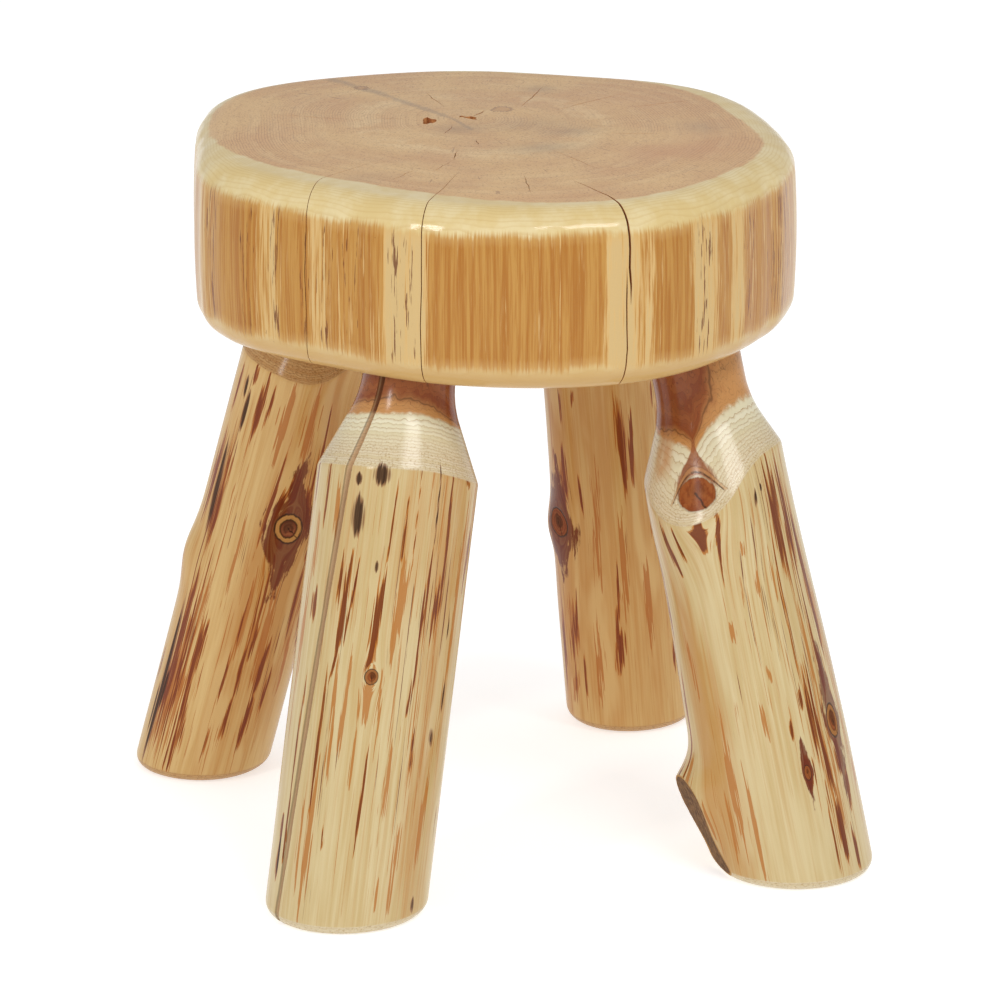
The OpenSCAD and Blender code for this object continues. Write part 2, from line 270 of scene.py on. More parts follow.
# A mark is [turn and height of its upper end, turn and height of its lower end, half width in mm].
# A zone is [turn, height, half width in mm, half height in mm, strength].
# A knot is [turn, height, radius, how long it is for its width, dark grain round it, style, tilt].
# Style 0 is plain, up to 1 has a pale ring in it, 2 is a shoulder knot with lids over it.
# A bend pulls the growth rings deeper: [turn, height, depth, half width, half height].
legs = {
    "leg_front_left": {
        "slot": "front_leg_wood",
        "bearing": 225.8, "out": -0.0446, "turnOff": -6.6, "ownLean": -0.8,
        "shape": {
            "Neck": 6.5, "Foot diameter": 87.0, "Top diameter": 87.0,
            "Lobe 1": (2.0, 1.7, 120.0), "Lobe 2": (3.0, 0.5, 20.0),
            "Dense turn": -29.0, "Drift": 26.0, "Gather": 0.7,
            "Check width": 4.6, "Check depth": 4.4, "Seed": 3.0},
        "reds": [
            [357, 212, 357, 172, 1.2], [5, 208, 0, 150, 1.7], [11, 205, 5, 150, 0.8], [1, 150, 356, 128, 0.8],
            [355, 140, 353, 60, 1], [34, 262, 31, 205, 0.7], [31, 192, 26.5, 138, 2.7], [42, 245, 42, 200, 0.7],
            [50, 262, 51, 190, 0.6], [66, 205, 63, 120, 1], [78, 262, 79, 160, 1], [75, 205, 75, 158, 2.2],
            [64, 145, 60, 118, 0.9], [69, 120, 70, 78, 1], [69, 110, 69, 98, 1.7], [35, 120, 32, 40, 0.7],
            [7, 60, 8, 45, 0.9], [84, 262, 82, 252, 2.2], [92, 256, 96, 246, 1.6]],
        "oranges": [
            [46, 205, 43, 150, 2], [50, 205, 47, 168, 1.3], [3, 138, 5, 80, 1.4], [357, 90, 355, 10, 1.6],
            [29, 138, 27, 112, 2.8], [31, 168, 30, 142, 1.8], [38, 142, 39, 100, 1.2], [51, 100, 49, 50, 1.2],
            [67, 70, 65, 14, 1.4], [54, 32, 53, 16, 0.9], [348, 75, 347, 18, 0.9], [344, 248, 346, 205, 1.4],
            [24, 110, 23, 80, 1], [13, 150, 12, 100, 0.8], [100, 240, 96, 120, 1.6], [88, 80, 86, 20, 1.8]],
        "darks": [
            [20, 258, 20, 244, 4.4], [4, 239, 5, 214, 4], [2, 251, 2, 243, 1.8], [65, 270, 67, 214, 0.7],
            [86, 114, 87, 100, 1.6], [24, 204, 24, 196, 0.9], [88, 18, 89, 6, 1.5], [91, 180, 92, 160, 0.9],
            [96, 140, 96, 118, 1.2]],
        "ambers": [
            [86, 130, 17, 190, 0.75], [45, 180, 9, 70, 0.3], [25, 235, 40, 60, 0.45], [350, 120, 9, 130, 0.35],
            [180, 150, 26, 120, 0.8], [250, 150, 20, 200, 0.5]],
        "dashes": [[70, 160, 30, 120, 0.9], [0, 120, 20, 120, 0.7], [200, 150, 60, 120, 0.8]],
        "knots": [[30, 139, 3.9, 1.1, 0, 0.3, 10]],
        "heartDepth": 13.2, "tanBand": (1.3, 0.9, 345), "freeTurns": (106, 334),
    },
    "leg_front_right": {
        "slot": "front_leg_wood",
        "bearing": 317.9, "out": 0.024, "turnOff": -10.4, "ownLean": -0.3,
        "shape": {
            "Neck": 27.0, "Foot diameter": 89.0, "Top diameter": 79.0,
            "Lobe 1": (1.0, 0.9, 215.0), "Lobe 2": (2.0, 0.6, 70.0),
            "Knot 1 at": (283.0, 218.0, 12.0), "Knot 1 reach": (36.0, 34.0, 0.0),
            "Knot 2 at": (224.0, 52.0, 10.5), "Knot 2 reach": (18.0, 17.0, 0.0),
            "Knot 3 at": (211.0, 37.0, 8.8), "Knot 3 reach": (19.5, 20.5, 0.0),
            "Dense turn": 285.0, "Gather": 0.25,
            "Saw turn": 233.0, "Saw foot": 45.9, "Saw rise": 0.2143, "Seed": 11.0},
        "reds": [
            [343, 238, 345, 180, 3], [349, 236, 347, 158, 3.6], [353, 238, 351, 200, 1.8], [361, 240, 360, 162, 2.7],
            [339, 202, 336, 100, 1.1], [343, 125, 341, 60, 3.2], [345, 100, 343, 38, 3], [346, 50, 347, 16, 2.6],
            [340, 62, 338, 5, 0.9], [360, 165, 360, 110, 1.3], [366, 62, 363, 38, 2.2], [371, 238, 372, 120, 2.6],
            [359, 34, 360, 4, 1.3], [2, 128, 1, 100, 2], [0, 80, 358, 58, 3], [285, 217, 283, 194, 3.6],
            [300, 226, 293, 178, 1], [254, 218, 262, 184, 1.7], [266, 214, 270, 188, 1.1], [327, 76, 327, 56, 3.4],
            [322, 96, 321, 84, 1], [334, 112, 333, 98, 1]],
        "oranges": [
            [291, 154, 292, 142, 1.6], [320, 184, 318, 166, 0.9], [306, 182, 305, 160, 0.9],
            [248, 150, 252, 112, 1.2], [303, 106, 304, 84, 1.2], [262, 60, 262, 14, 1.3], [280, 66, 281, 10, 1.2],
            [312, 128, 313, 116, 0.9], [244, 48, 244, 24, 1], [270, 100, 269, 20, 1.5], [310, 200, 311, 190, 0.9],
            [332, 192, 332, 162, 1], [378, 200, 379, 60, 2], [352, 140, 352, 20, 1.6]],
        "darks": [[330, 226, 328, 214, 1], [337, 228, 336, 222, 0.9]],
        "ambers": [
            [258, 70, 16, 90, 0.95], [250, 190, 10, 60, 0.55], [350, 120, 14, 160, 0.35], [60, 150, 30, 160, 0.6],
            [150, 150, 30, 160, 0.7]],
        "dashes": [[318, 170, 22, 90, 0.9], [262, 60, 20, 60, 0.6], [350, 120, 16, 120, 1], [90, 150, 60, 120, 0.8]],
        "knots": [[286, 229.5, 11.6, 0.78, 0, 2, 0], [2, 88, 5.2, 1.7, 0.9, 0.5, 0], [327, 66, 2.2, 1.8, 1, 0, 0]],
        "bends": [[286, 263, 3, 6, 16], [288, 300, 2, 16, 24]],
        "heartDepth": 11.5, "tanBand": (1.1, 0.7, 345), "freeTurns": (20, 236),
        "tans": [[251, 252, 9, 14, 0.9], [262, 268, 8, 8, 0.6]],
    },
    "leg_back_left": {
        "slot": "back_leg_wood",
        "bearing": 131.7, "out": -0.0369, "turnOff": 3.6, "ownLean": 1.8,
        "shape": {
            "Neck": 6.5, "Foot diameter": 77.0, "Top diameter": 76.0,
            "Lobe 1": (2.0, 0.5, 70.0), "Lobe 2": (3.0, 0.4, 10.0),
            "Knot 1 at": (32.0, 136.0, 3.5), "Knot 1 reach": (14.0, 18.0, 0.0),
            "Knot 2 at": (161.0, 262.0, -5.0), "Knot 2 reach": (16.0, 30.0, 0.0),
            "Dense turn": 115.0, "Gather": 0.25, "Seed": 23.0},
        "reds": [
            [64, 220, 62, 140, 2.3], [61, 144, 60, 16, 2.7], [68, 272, 69, 256, 1.3], [83, 268, 79, 222, 2.1],
            [48, 264, 45, 230, 2], [46, 222, 44, 158, 3.4], [72, 142, 70, 16, 2.6], [83, 104, 84, 8, 3.4],
            [88, 112, 85, 58, 1.7], [78, 202, 76, 178, 0.9], [132, 216, 130, 190, 2.6], [129, 164, 124, 58, 1.7],
            [124, 62, 120, 22, 1.7], [130, 112, 128, 84, 1.5], [142, 62, 140, 22, 1.7], [146, 104, 141, 58, 1.5],
            [154, 82, 153, 48, 1.1], [150, 258, 146, 196, 1.1], [117, 232, 110, 150, 0.9], [116, 134, 112, 58, 0.9],
            [112, 42, 110, 12, 1.1], [162, 164, 163, 152, 1.8], [161, 152, 162, 106, 1.6], [174, 134, 188, 84, 3.6],
            [123, 205, 118, 176, 1.6], [144, 204, 152, 176, 1.8], [91, 262, 89, 232, 1]],
        "oranges": [
            [130, 262, 131, 222, 3], [107, 262, 106, 214, 1.8], [136, 150, 138, 60, 2.2], [118, 150, 116, 90, 1.6],
            [96, 190, 95, 120, 1], [56, 100, 54, 30, 2.4], [76, 130, 75, 90, 1.6], [168, 110, 170, 60, 1.8],
            [58, 120, 57, 18, 2.6], [66, 104, 65, 12, 2.2], [75, 92, 74, 24, 1.8]],
        "darks": [
            [54, 218, 57, 152, 2.6], [52, 112, 50, 6, 2.6], [66, 252, 66, 224, 1.8], [59, 260, 60, 244, 1.4],
            [56, 70, 55, 40, 1.8], [46, 60, 45, 20, 1.5]],
        "ambers": [
            [134, 150, 16, 190, 0.85], [108, 90, 5, 120, 0.6], [165, 160, 12, 150, 0.8], [50, 150, 10, 160, 0.45],
            [250, 150, 40, 180, 0.7]],
        "dashes": [[66, 130, 16, 140, 1], [130, 120, 24, 140, 0.7], [220, 150, 50, 120, 0.8]],
        "knots": [[134.5, 177, 8.4, 1.15, 1, 1, -28]],
        "heartDepth": 13.6, "tanBand": (1.4, 0.5, 0), "freeTurns": (190, 400),
    },
    "leg_back_right": {
        "slot": "back_leg_wood",
        "bearing": 43.0, "out": 0.0584, "turnOff": 9.4, "ownLean": 0.0,
        "shape": {
            "Neck": 6.5, "Foot diameter": 76.0, "Top diameter": 71.0,
            "Lobe 1": (1.0, 1.0, 105.0), "Lobe 2": (3.0, 0.4, 50.0),
            "Knot 1 at": (115.0, 140.0, 3.0), "Knot 1 reach": (13.0, 15.0, 0.0),
            "Dense turn": 195.0, "Gather": 0.25, "Seed": 37.0},
        "reds": [
            [206, 244, 210, 184, 1.6], [213, 244, 211, 172, 2.3], [223, 228, 220, 180, 1.6],
            [150, 244, 151, 218, 1.1], [168, 248, 165, 232, 1.1], [150, 204, 148, 160, 3], [165, 192, 170, 158, 1.1],
            [198, 128, 190, 40, 0.9], [197, 78, 191, 42, 2.6], [149, 104, 147, 46, 3.4], [131, 104, 128, 18, 1.6],
            [155, 106, 152, 60, 1.2], [236, 152, 240, 134, 1.7], [133, 200, 140, 178, 1.8], [128, 140, 130, 118, 2.2],
            [160, 62, 157, 14, 0.9], [148, 54, 145, 12, 0.9]],
        "oranges": [
            [182, 200, 180, 120, 2], [176, 90, 174, 20, 1.6], [205, 160, 203, 90, 2], [150, 40, 140, 18, 2],
            [226, 120, 224, 60, 1.6]],
        "ambers": [[195, 150, 50, 220, 0.8], [120, 150, 20, 220, 0.6], [30, 150, 50, 220, 0.8]],
        "dashes": [[200, 130, 40, 160, 0.25], [120, 120, 24, 140, 0.8], [20, 150, 60, 120, 0.8]],
        "knots": [[137, 149, 8.5, 1.1, 1, 0, 0]],
        "heartDepth": 13.6, "tanBand": (1.4, 0.5, 0), "freeTurns": (248, 475),
    },
}

# how many marks of each kind lie on a leg's free turns, and their half width
strewn = {"reds": (38, 2.2), "oranges": (26, 1.8), "darks": (5, 1.3)}

# what all the legs share, unless a leg's own shape says otherwise
legInputs = {
    "Columns": 297, "Rings": 322,
    "Place": point, "Heading": 0.0, "Lean": 14.0, "Underside": underside,
    "Foot diameter": 87.0, "Top diameter": 80.0, "Foot round": 8.0,
    "Neck": 6.5, "Tenon diameter": 52.0, "Tenon length": 64.0, "Tenon chamfer": 2.0,
    "Cove radius": 60.0, "Cove slope": 24.0,
    "Lobe 1": (2.0, 0.0, 0.0), "Lobe 2": (3.0, 0.0, 0.0),
    "Knot 1 at": point, "Knot 1 reach": (20.0, 20.0, 0.0),
    "Knot 2 at": point, "Knot 2 reach": (20.0, 20.0, 0.0),
    "Knot 3 at": point, "Knot 3 reach": (20.0, 20.0, 0.0),
    "Dense turn": 0.0, "Drift": 0.0, "Gather": 0.0,
    "Check width": 4.0, "Check depth": 0.0,
    "Saw turn": 0.0, "Saw foot": 500.0, "Saw rise": 0.0,
    "Ripple": 0.7, "Seed": 0.0,
}


def buildLegTree():
    tree = bpy.data.node_groups.new("log leg", "GeometryNodeTree")
    addSockets(tree, "INPUT", legInputs)
    tree.interface.new_socket(name="Wood", in_out="INPUT", socket_type="NodeSocketMaterial")
    tree.interface.new_socket(name="Leg", in_out="OUTPUT", socket_type="NodeSocketGeometry")
    board = Board(tree)
    calc, ramp, sin, cos, low, high = board.math, board.ramp, board.sin, board.cos, board.low, board.high
    start = board.node("NodeGroupInput")
    value = {label: Wire(board, start.outputs[label]) for label in legInputs}
    columns, rings, heading = value["Columns"], value["Rings"], value["Heading"]
    lean, length = value["Lean"], value["Underside"] / cos(value["Lean"])

    # where a point lies in the sheet: foot's cut face, rounded edge, log and tenon, chamfer, tenon's end
    index = board.out(board.node("GeometryNodeInputIndex"))
    column = calc("FLOOR", (index + 0.5) / rings)
    ring = index - column * rings
    faceRing, roundRing, shaftRing, chamferRing = 12.0, 24.0, rings - 14.0, rings - 10.0  # where each part ends
    footFace = ramp(ring, 0.0, faceRing)
    roundTurn = ramp(ring, faceRing, roundRing, 0.0, 90.0)
    shaft = ramp(ring, roundRing, shaftRing)
    chamfer = ramp(ring, shaftRing, chamferRing) * value["Tenon chamfer"]
    endFace = ramp(ring, chamferRing, rings - 1.0, 1.0, 0.0)
    firstUp = value["Foot round"] / cos(lean)
    lastUp = length + value["Tenon length"] - value["Tenon chamfer"]
    up = firstUp * (1.0 - cos(roundTurn)) + shaft * (lastUp - firstUp) + chamfer
    inset = value["Foot round"] * (1.0 - sin(roundTurn)) + chamfer
    around = column / (columns - 1.0) - 0.5
    swing = (around - value["Gather"] * calc("SINE", around * fullTurn) / fullTurn) * 360.0
    turn = value["Dense turn"] + value["Drift"] * up / length + swing

    # the log's own skin
    share = board.ease(up / length, 0.2, 0.75)
    skin = (value["Foot diameter"] * (1.0 - share) + value["Top diameter"] * share) / 2.0
    for label in ("Lobe 1", "Lobe 2"):
        count, height, first = board.parts(value[label])
        skin = skin + height * cos(count * (turn - first))
    for label in ("Knot 1", "Knot 2", "Knot 3"):
        atTurn, atUp, height = board.parts(value[label + " at"])
        halfWidth, halfLength = board.parts(value[label + " reach"])[:2]
        across = calc("RADIANS", calc("WRAP", turn - atTurn, 180.0, -180.0)) * value["Foot diameter"] / 2.0
        away = (across / halfWidth) ** 2.0 + ((up - atUp) / halfLength) ** 2.0
        skin = skin + height * calc("EXPONENT", away * -1.0)
    ripplePlace = board.vector(cos(turn) * 1.6 + value["Seed"], sin(turn) * 1.6, up / 120.0)
    skin = skin + (board.noise(ripplePlace) - 0.5) * value["Ripple"]

    # what the tenon cutter leaves
    below = length - up
    pastNeck = below - value["Neck"]
    coveRun = value["Cove radius"] * sin(value["Cove slope"])
    inCove = low(high(pastNeck, 0.0), coveRun)
    coveDepth = calc("SQRT", value["Cove radius"] ** 2.0 - inCove * inCove)
    turned = (value["Tenon diameter"] / 2.0 + value["Cove radius"] - coveDepth
              + high(pastNeck - coveRun, 0.0) * calc("TANGENT", calc("RADIANS", value["Cove slope"])))
    cut = calc("SMOOTH_MIN", skin, turned, 0.8)

    # the drying check follows the grain up the log and has rounded lips
    across = calc("RADIANS", swing) * cut
    wander = board.noise(board.vector(up / 30.0, value["Seed"], 0.0), 3.0)
    halfWidth = value["Check width"] * ramp(wander, 0.2, 0.8, 0.4, 0.6)
    opening = board.ease(calc("ABSOLUTE", across) / halfWidth, 1.0, 0.3)
    underSlab = ramp(below, 0.0, 4.0)
    groove = opening * value["Check depth"] * underSlab
    radius = (cut - inset - groove) * footFace * endFace

    # the branch stub's saw cut
    sawn = (value["Saw foot"] + value["Saw rise"] * (up - 18.0)) / high(cos(turn - value["Saw turn"]), 0.25)
    sawnDepth = radius - sawn
    radius = low(radius, sawn)

    # rings are level at the foot and square to the axis from halfway up
    tilt = lean * board.ease(up * 2.0 / length, 0.0, 1.0)
    stretch = radius * cos(turn) / cos(lean - tilt)
    x = sin(lean) * below + stretch * cos(tilt)
    y = radius * sin(turn)
    z = value["Underside"] - cos(lean) * below + stretch * sin(tilt)
    turnedPlace = board.vector(x * cos(heading) - y * sin(heading), x * sin(heading) + y * cos(heading), z)
    place = board.out(board.node("ShaderNodeVectorMath", {0: turnedPlace, 1: value["Place"]}, operation="ADD"))

    shape = board.out(board.node("GeometryNodeMeshGrid", {"Vertices X": columns, "Vertices Y": rings}), "Mesh")
    stored = {"turn": turn, "up": up, "underSkin": skin - (cut - inset) * footFace * endFace,
              "checkIn": opening * underSlab * ramp(value["Check depth"], 0.0, 1.0),
              "checkSide": low(high(across / halfWidth, -1.0), 1.0), "sawn": ramp(sawnDepth, 0.0, 4.0)}
    for name, wire in stored.items():
        shape = board.out(board.node("GeometryNodeStoreNamedAttribute",
                                     {"Geometry": shape, "Name": name, "Value": wire}, data_type="FLOAT"))
    wood = Wire(board, start.outputs["Wood"])
    last = {"SetPosition": {"Position": place * (mm, mm, mm)}, "MergeByDistance": {"Distance": 0.00003},
            "SetShadeSmooth": {}, "RealizeInstances": {}, "SetMaterial": {"Material": wood}}
    for kind, inputs in last.items():
        shape = board.out(board.node("GeometryNode" + kind, {"Geometry": shape, **inputs}))
    board.node("NodeGroupOutput", {"Leg": shape})
    return tree


def meshFromTree(name, tree, values):
    # runs the tree once and keeps its result as a plain mesh
    holder = newObject(name + " maker", bpy.data.meshes.new(name + " maker"))
    modifier = holder.modifiers.new("maker", "NODES")
    modifier.node_group = tree
    for item in tree.interface.items_tree:
        if item.item_type == "SOCKET" and item.in_out == "INPUT" and item.name in values:
            modifier[item.identifier] = values[item.name]
    ready = holder.evaluated_get(bpy.context.evaluated_depsgraph_get())
    mesh = bpy.data.meshes.new_from_object(ready)
    mesh.name = name
    holder.modifiers.remove(modifier)
    bpy.data.objects.remove(holder)
    return mesh


def readValues(mesh, name):
    values = np.zeros(len(mesh.vertices), np.float32)
    mesh.attributes[name].data.foreach_get("value", values)
    return values.astype(float)


def readPoints(mesh):
    points = np.zeros(len(mesh.vertices) * 3, np.float32)
    mesh.vertices.foreach_get("co", points)
    return points.reshape(-1, 3).astype(float)


def writeValues(mesh, name, values):
    kind, field = ("FLOAT_VECTOR", "vector") if values.ndim == 2 else ("FLOAT", "value")
    made = mesh.attributes.get(name) or mesh.attributes.new(name, kind, "POINT")
    made.data.foreach_set(field, values.astype(np.float32).ravel())


def turnOutwards(mesh):
    # a closed mesh with its faces inside out has a volume below nought
    mesh.calc_loop_triangles()
    corners = np.zeros(len(mesh.loop_triangles) * 3, np.int32)
    mesh.loop_triangles.foreach_get("vertices", corners)
    a, b, c = readPoints(mesh)[corners].reshape(-1, 3, 3).transpose(1, 0, 2)
    if (a * np.cross(b, c)).sum() < 0:
        mesh.flip_normals()


def turnApart(a, b):
    return (a - b + 180) % 360 - 180


def arc(turn, atTurn, radius):
    return np.radians(turnApart(turn, atTurn)) * radius


def onDrum(radius, turn, height):
    # places on a plain drum, so that the grain runs straight whatever the log's own form is
    return np.stack([radius * np.cos(np.radians(turn)), radius * np.sin(np.radians(turn)), height], 1)


def lensField(turn, up, radius, marks):
    # 1 along the middle of a mark, 0 at its edge, below 0 outside; the ends are pointed
    field = np.full(len(turn), -3.0)
    for turnHigh, upHigh, turnLow, upLow, halfWidth in marks:
        share = (upHigh - up) / (upHigh - upLow)
        across = arc(turn, turnHigh + turnApart(turnLow, turnHigh) * share, radius)
        field = np.maximum(field, 1 - np.abs(across) / halfWidth - np.abs(2 * share - 1) ** 2.4)
    return field


def strewMarks(leg, kind):
    # marks for the part of the leg that the lists leave free, the same on every run
    count, halfWidth = strewn[kind]
    dice = np.random.default_rng(int(leg["shape"]["Seed"]) * 7 + count)
    lows, lengths = dice.uniform(10, 225, count), dice.uniform(14, 80, count)
    places = zip(dice.uniform(*leg["freeTurns"], count), lows, lengths, dice.uniform(0.35, 1.0, count))
    return [[turn, low + long, turn - long * 0.04, low, halfWidth * size] for turn, low, long, size in places]


def zoneField(turn, up, radius, zones):
    field = np.zeros(len(turn))
    for atTurn, atUp, halfWidth, halfHeight, strength in zones:
        across = arc(turn, atTurn, radius)
        field += strength * np.exp(-(across / halfWidth) ** 4 - ((up - atUp) / halfHeight) ** 4)
    return np.clip(field, 0, 1)


def knotSpace(turn, up, radius, knots):
    # distances to the nearest knot, in knot radii, and the way the grain bends round all of them
    near = {"knotReach": np.full(len(turn), 9.0), "knotSpindle": np.full(len(turn), 9.0),
            "knotHalo": np.zeros(len(turn)), "knotLocal": np.zeros((len(turn), 3))}
    bent = np.radians(turn) * radius
    for atTurn, atUp, size, long, halo, style, tilt in knots:
        u, v = arc(turn, atTurn, radius) / size, (up - atUp) / size
        c, s = math.cos(math.radians(tilt)), math.sin(math.radians(tilt))
        x, y = u * c - v * s, (u * s + v * c) / long
        reach = np.hypot(x, y)
        here = reach < near["knotReach"]
        spindle = np.abs(u) / 1.9 + np.abs(v) / long / 4.6
        for name, value in (("knotReach", reach), ("knotSpindle", spindle), ("knotHalo", np.full_like(x, halo)),
                            ("knotLocal", np.stack([x, y, np.full_like(x, style)], 1))):
            near[name][here] = value[here]
        flow = np.hypot(u, v * 0.5)
        bent -= u * size * np.exp(-(flow / 3.2) ** 2) / np.maximum(flow, 0.8) ** 2
    return near, np.degrees(bent / radius)


def ringBend(turn, up, radius, bends):
    depth = np.zeros(len(turn))
    for atTurn, atUp, extra, halfWidth, halfHeight in bends:
        across = arc(turn, atTurn, radius)
        depth += extra * np.exp(-np.abs(across) / halfWidth - ((up - atUp) / halfHeight) ** 2)
    return depth


def legPlace(leg):
    # the leg's lean and heading, and where its axis meets the slab's underside
    out, bearing = stool["mortiseCircle"] * (1 + leg["out"]), math.radians(leg["bearing"])
    return (stool["splay"] + leg["ownLean"], leg["bearing"] + leg["turnOff"],
            out * math.cos(bearing), out * math.sin(bearing))


def makeLeg(name, leg, tree, material):
    lean, heading, x, y = legPlace(leg)
    values = {**legInputs, **leg["shape"], "Lean": lean, "Heading": heading, "Place": (x, y, 0.0), "Wood": material}
    mesh = meshFromTree(name, tree, values)
    turnOutwards(mesh)
    turn, up = readValues(mesh, "turn"), readValues(mesh, "up")
    radius = leg["shape"]["Foot diameter"] / 2
    near, bent = knotSpace(turn, up, radius, leg["knots"])
    depth = readValues(mesh, "underSkin") + ringBend(turn, up, radius, leg.get("bends", []))
    wide, more, towards = leg["tanBand"]
    fields = {**near, "ringDepth": depth + heartAt - leg["heartDepth"], "skinAt": onDrum(radius, bent, up),
              "tanBand": wide + more * np.cos(np.radians(turn - towards))}
    for field in strewn:
        fields[field] = lensField(turn, up, radius, leg.get(field, []) + strewMarks(leg, field))
    for field in ("ambers", "dashes", "tans"):
        fields[field] = zoneField(turn, up, radius, leg.get(field, []))
    for field, values in fields.items():
        writeValues(mesh, field, values)
    mesh.set_sharp_from_angle(angle=math.radians(50))
    piece = newObject(name.replace("leg_", "log_leg_"), mesh)
    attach(piece, "root")
    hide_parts(name)
    print("leg:", name, len(mesh.polygons), "faces")


legFinish = {"sawDark": paint(76, 50, 30), "sawPale": paint(142, 104, 64), "bump": 0.4}

# each look's dark check colour is painted shade along the sides of the drying check
legLooks = {
    "front_leg_wood": {
        "cream": paint(190, 165, 114), "pale": paint(204, 186, 142), "amber": paint(182, 138, 80),
        "orange": paint(168, 100, 24), "red": paint(104, 42, 10), "dark": paint(50, 30, 16),
        "heart": paint(132, 68, 34), "heartPale": paint(160, 98, 52), "tan": paint(186, 134, 80),
        "sap": paint(209, 199, 164), "sapPale": paint(219, 212, 184), "sapLine": paint(166, 132, 84),
        "check": paint(214, 180, 140), "checkShadeColour": paint(78, 44, 18), "flame": paint(100, 36, 12),
        **legFinish, "coat": 0.5, "coatRoughness": 0.18,
    },
    "back_leg_wood": {
        "cream": paint(196, 158, 100), "pale": paint(208, 176, 120), "amber": paint(184, 134, 74),
        "orange": paint(166, 96, 36), "red": paint(114, 46, 16), "dark": paint(46, 28, 16),
        "heart": paint(126, 66, 42), "heartPale": paint(158, 100, 62), "tan": paint(170, 118, 72),
        "sap": paint(186, 146, 94), "sapPale": paint(200, 166, 114), "sapLine": paint(140, 96, 54),
        "check": paint(104, 76, 52), "checkShadeColour": paint(46, 28, 16), "flame": paint(104, 42, 16),
        **legFinish, "coat": 0.3, "coatRoughness": 0.16,
    },
}


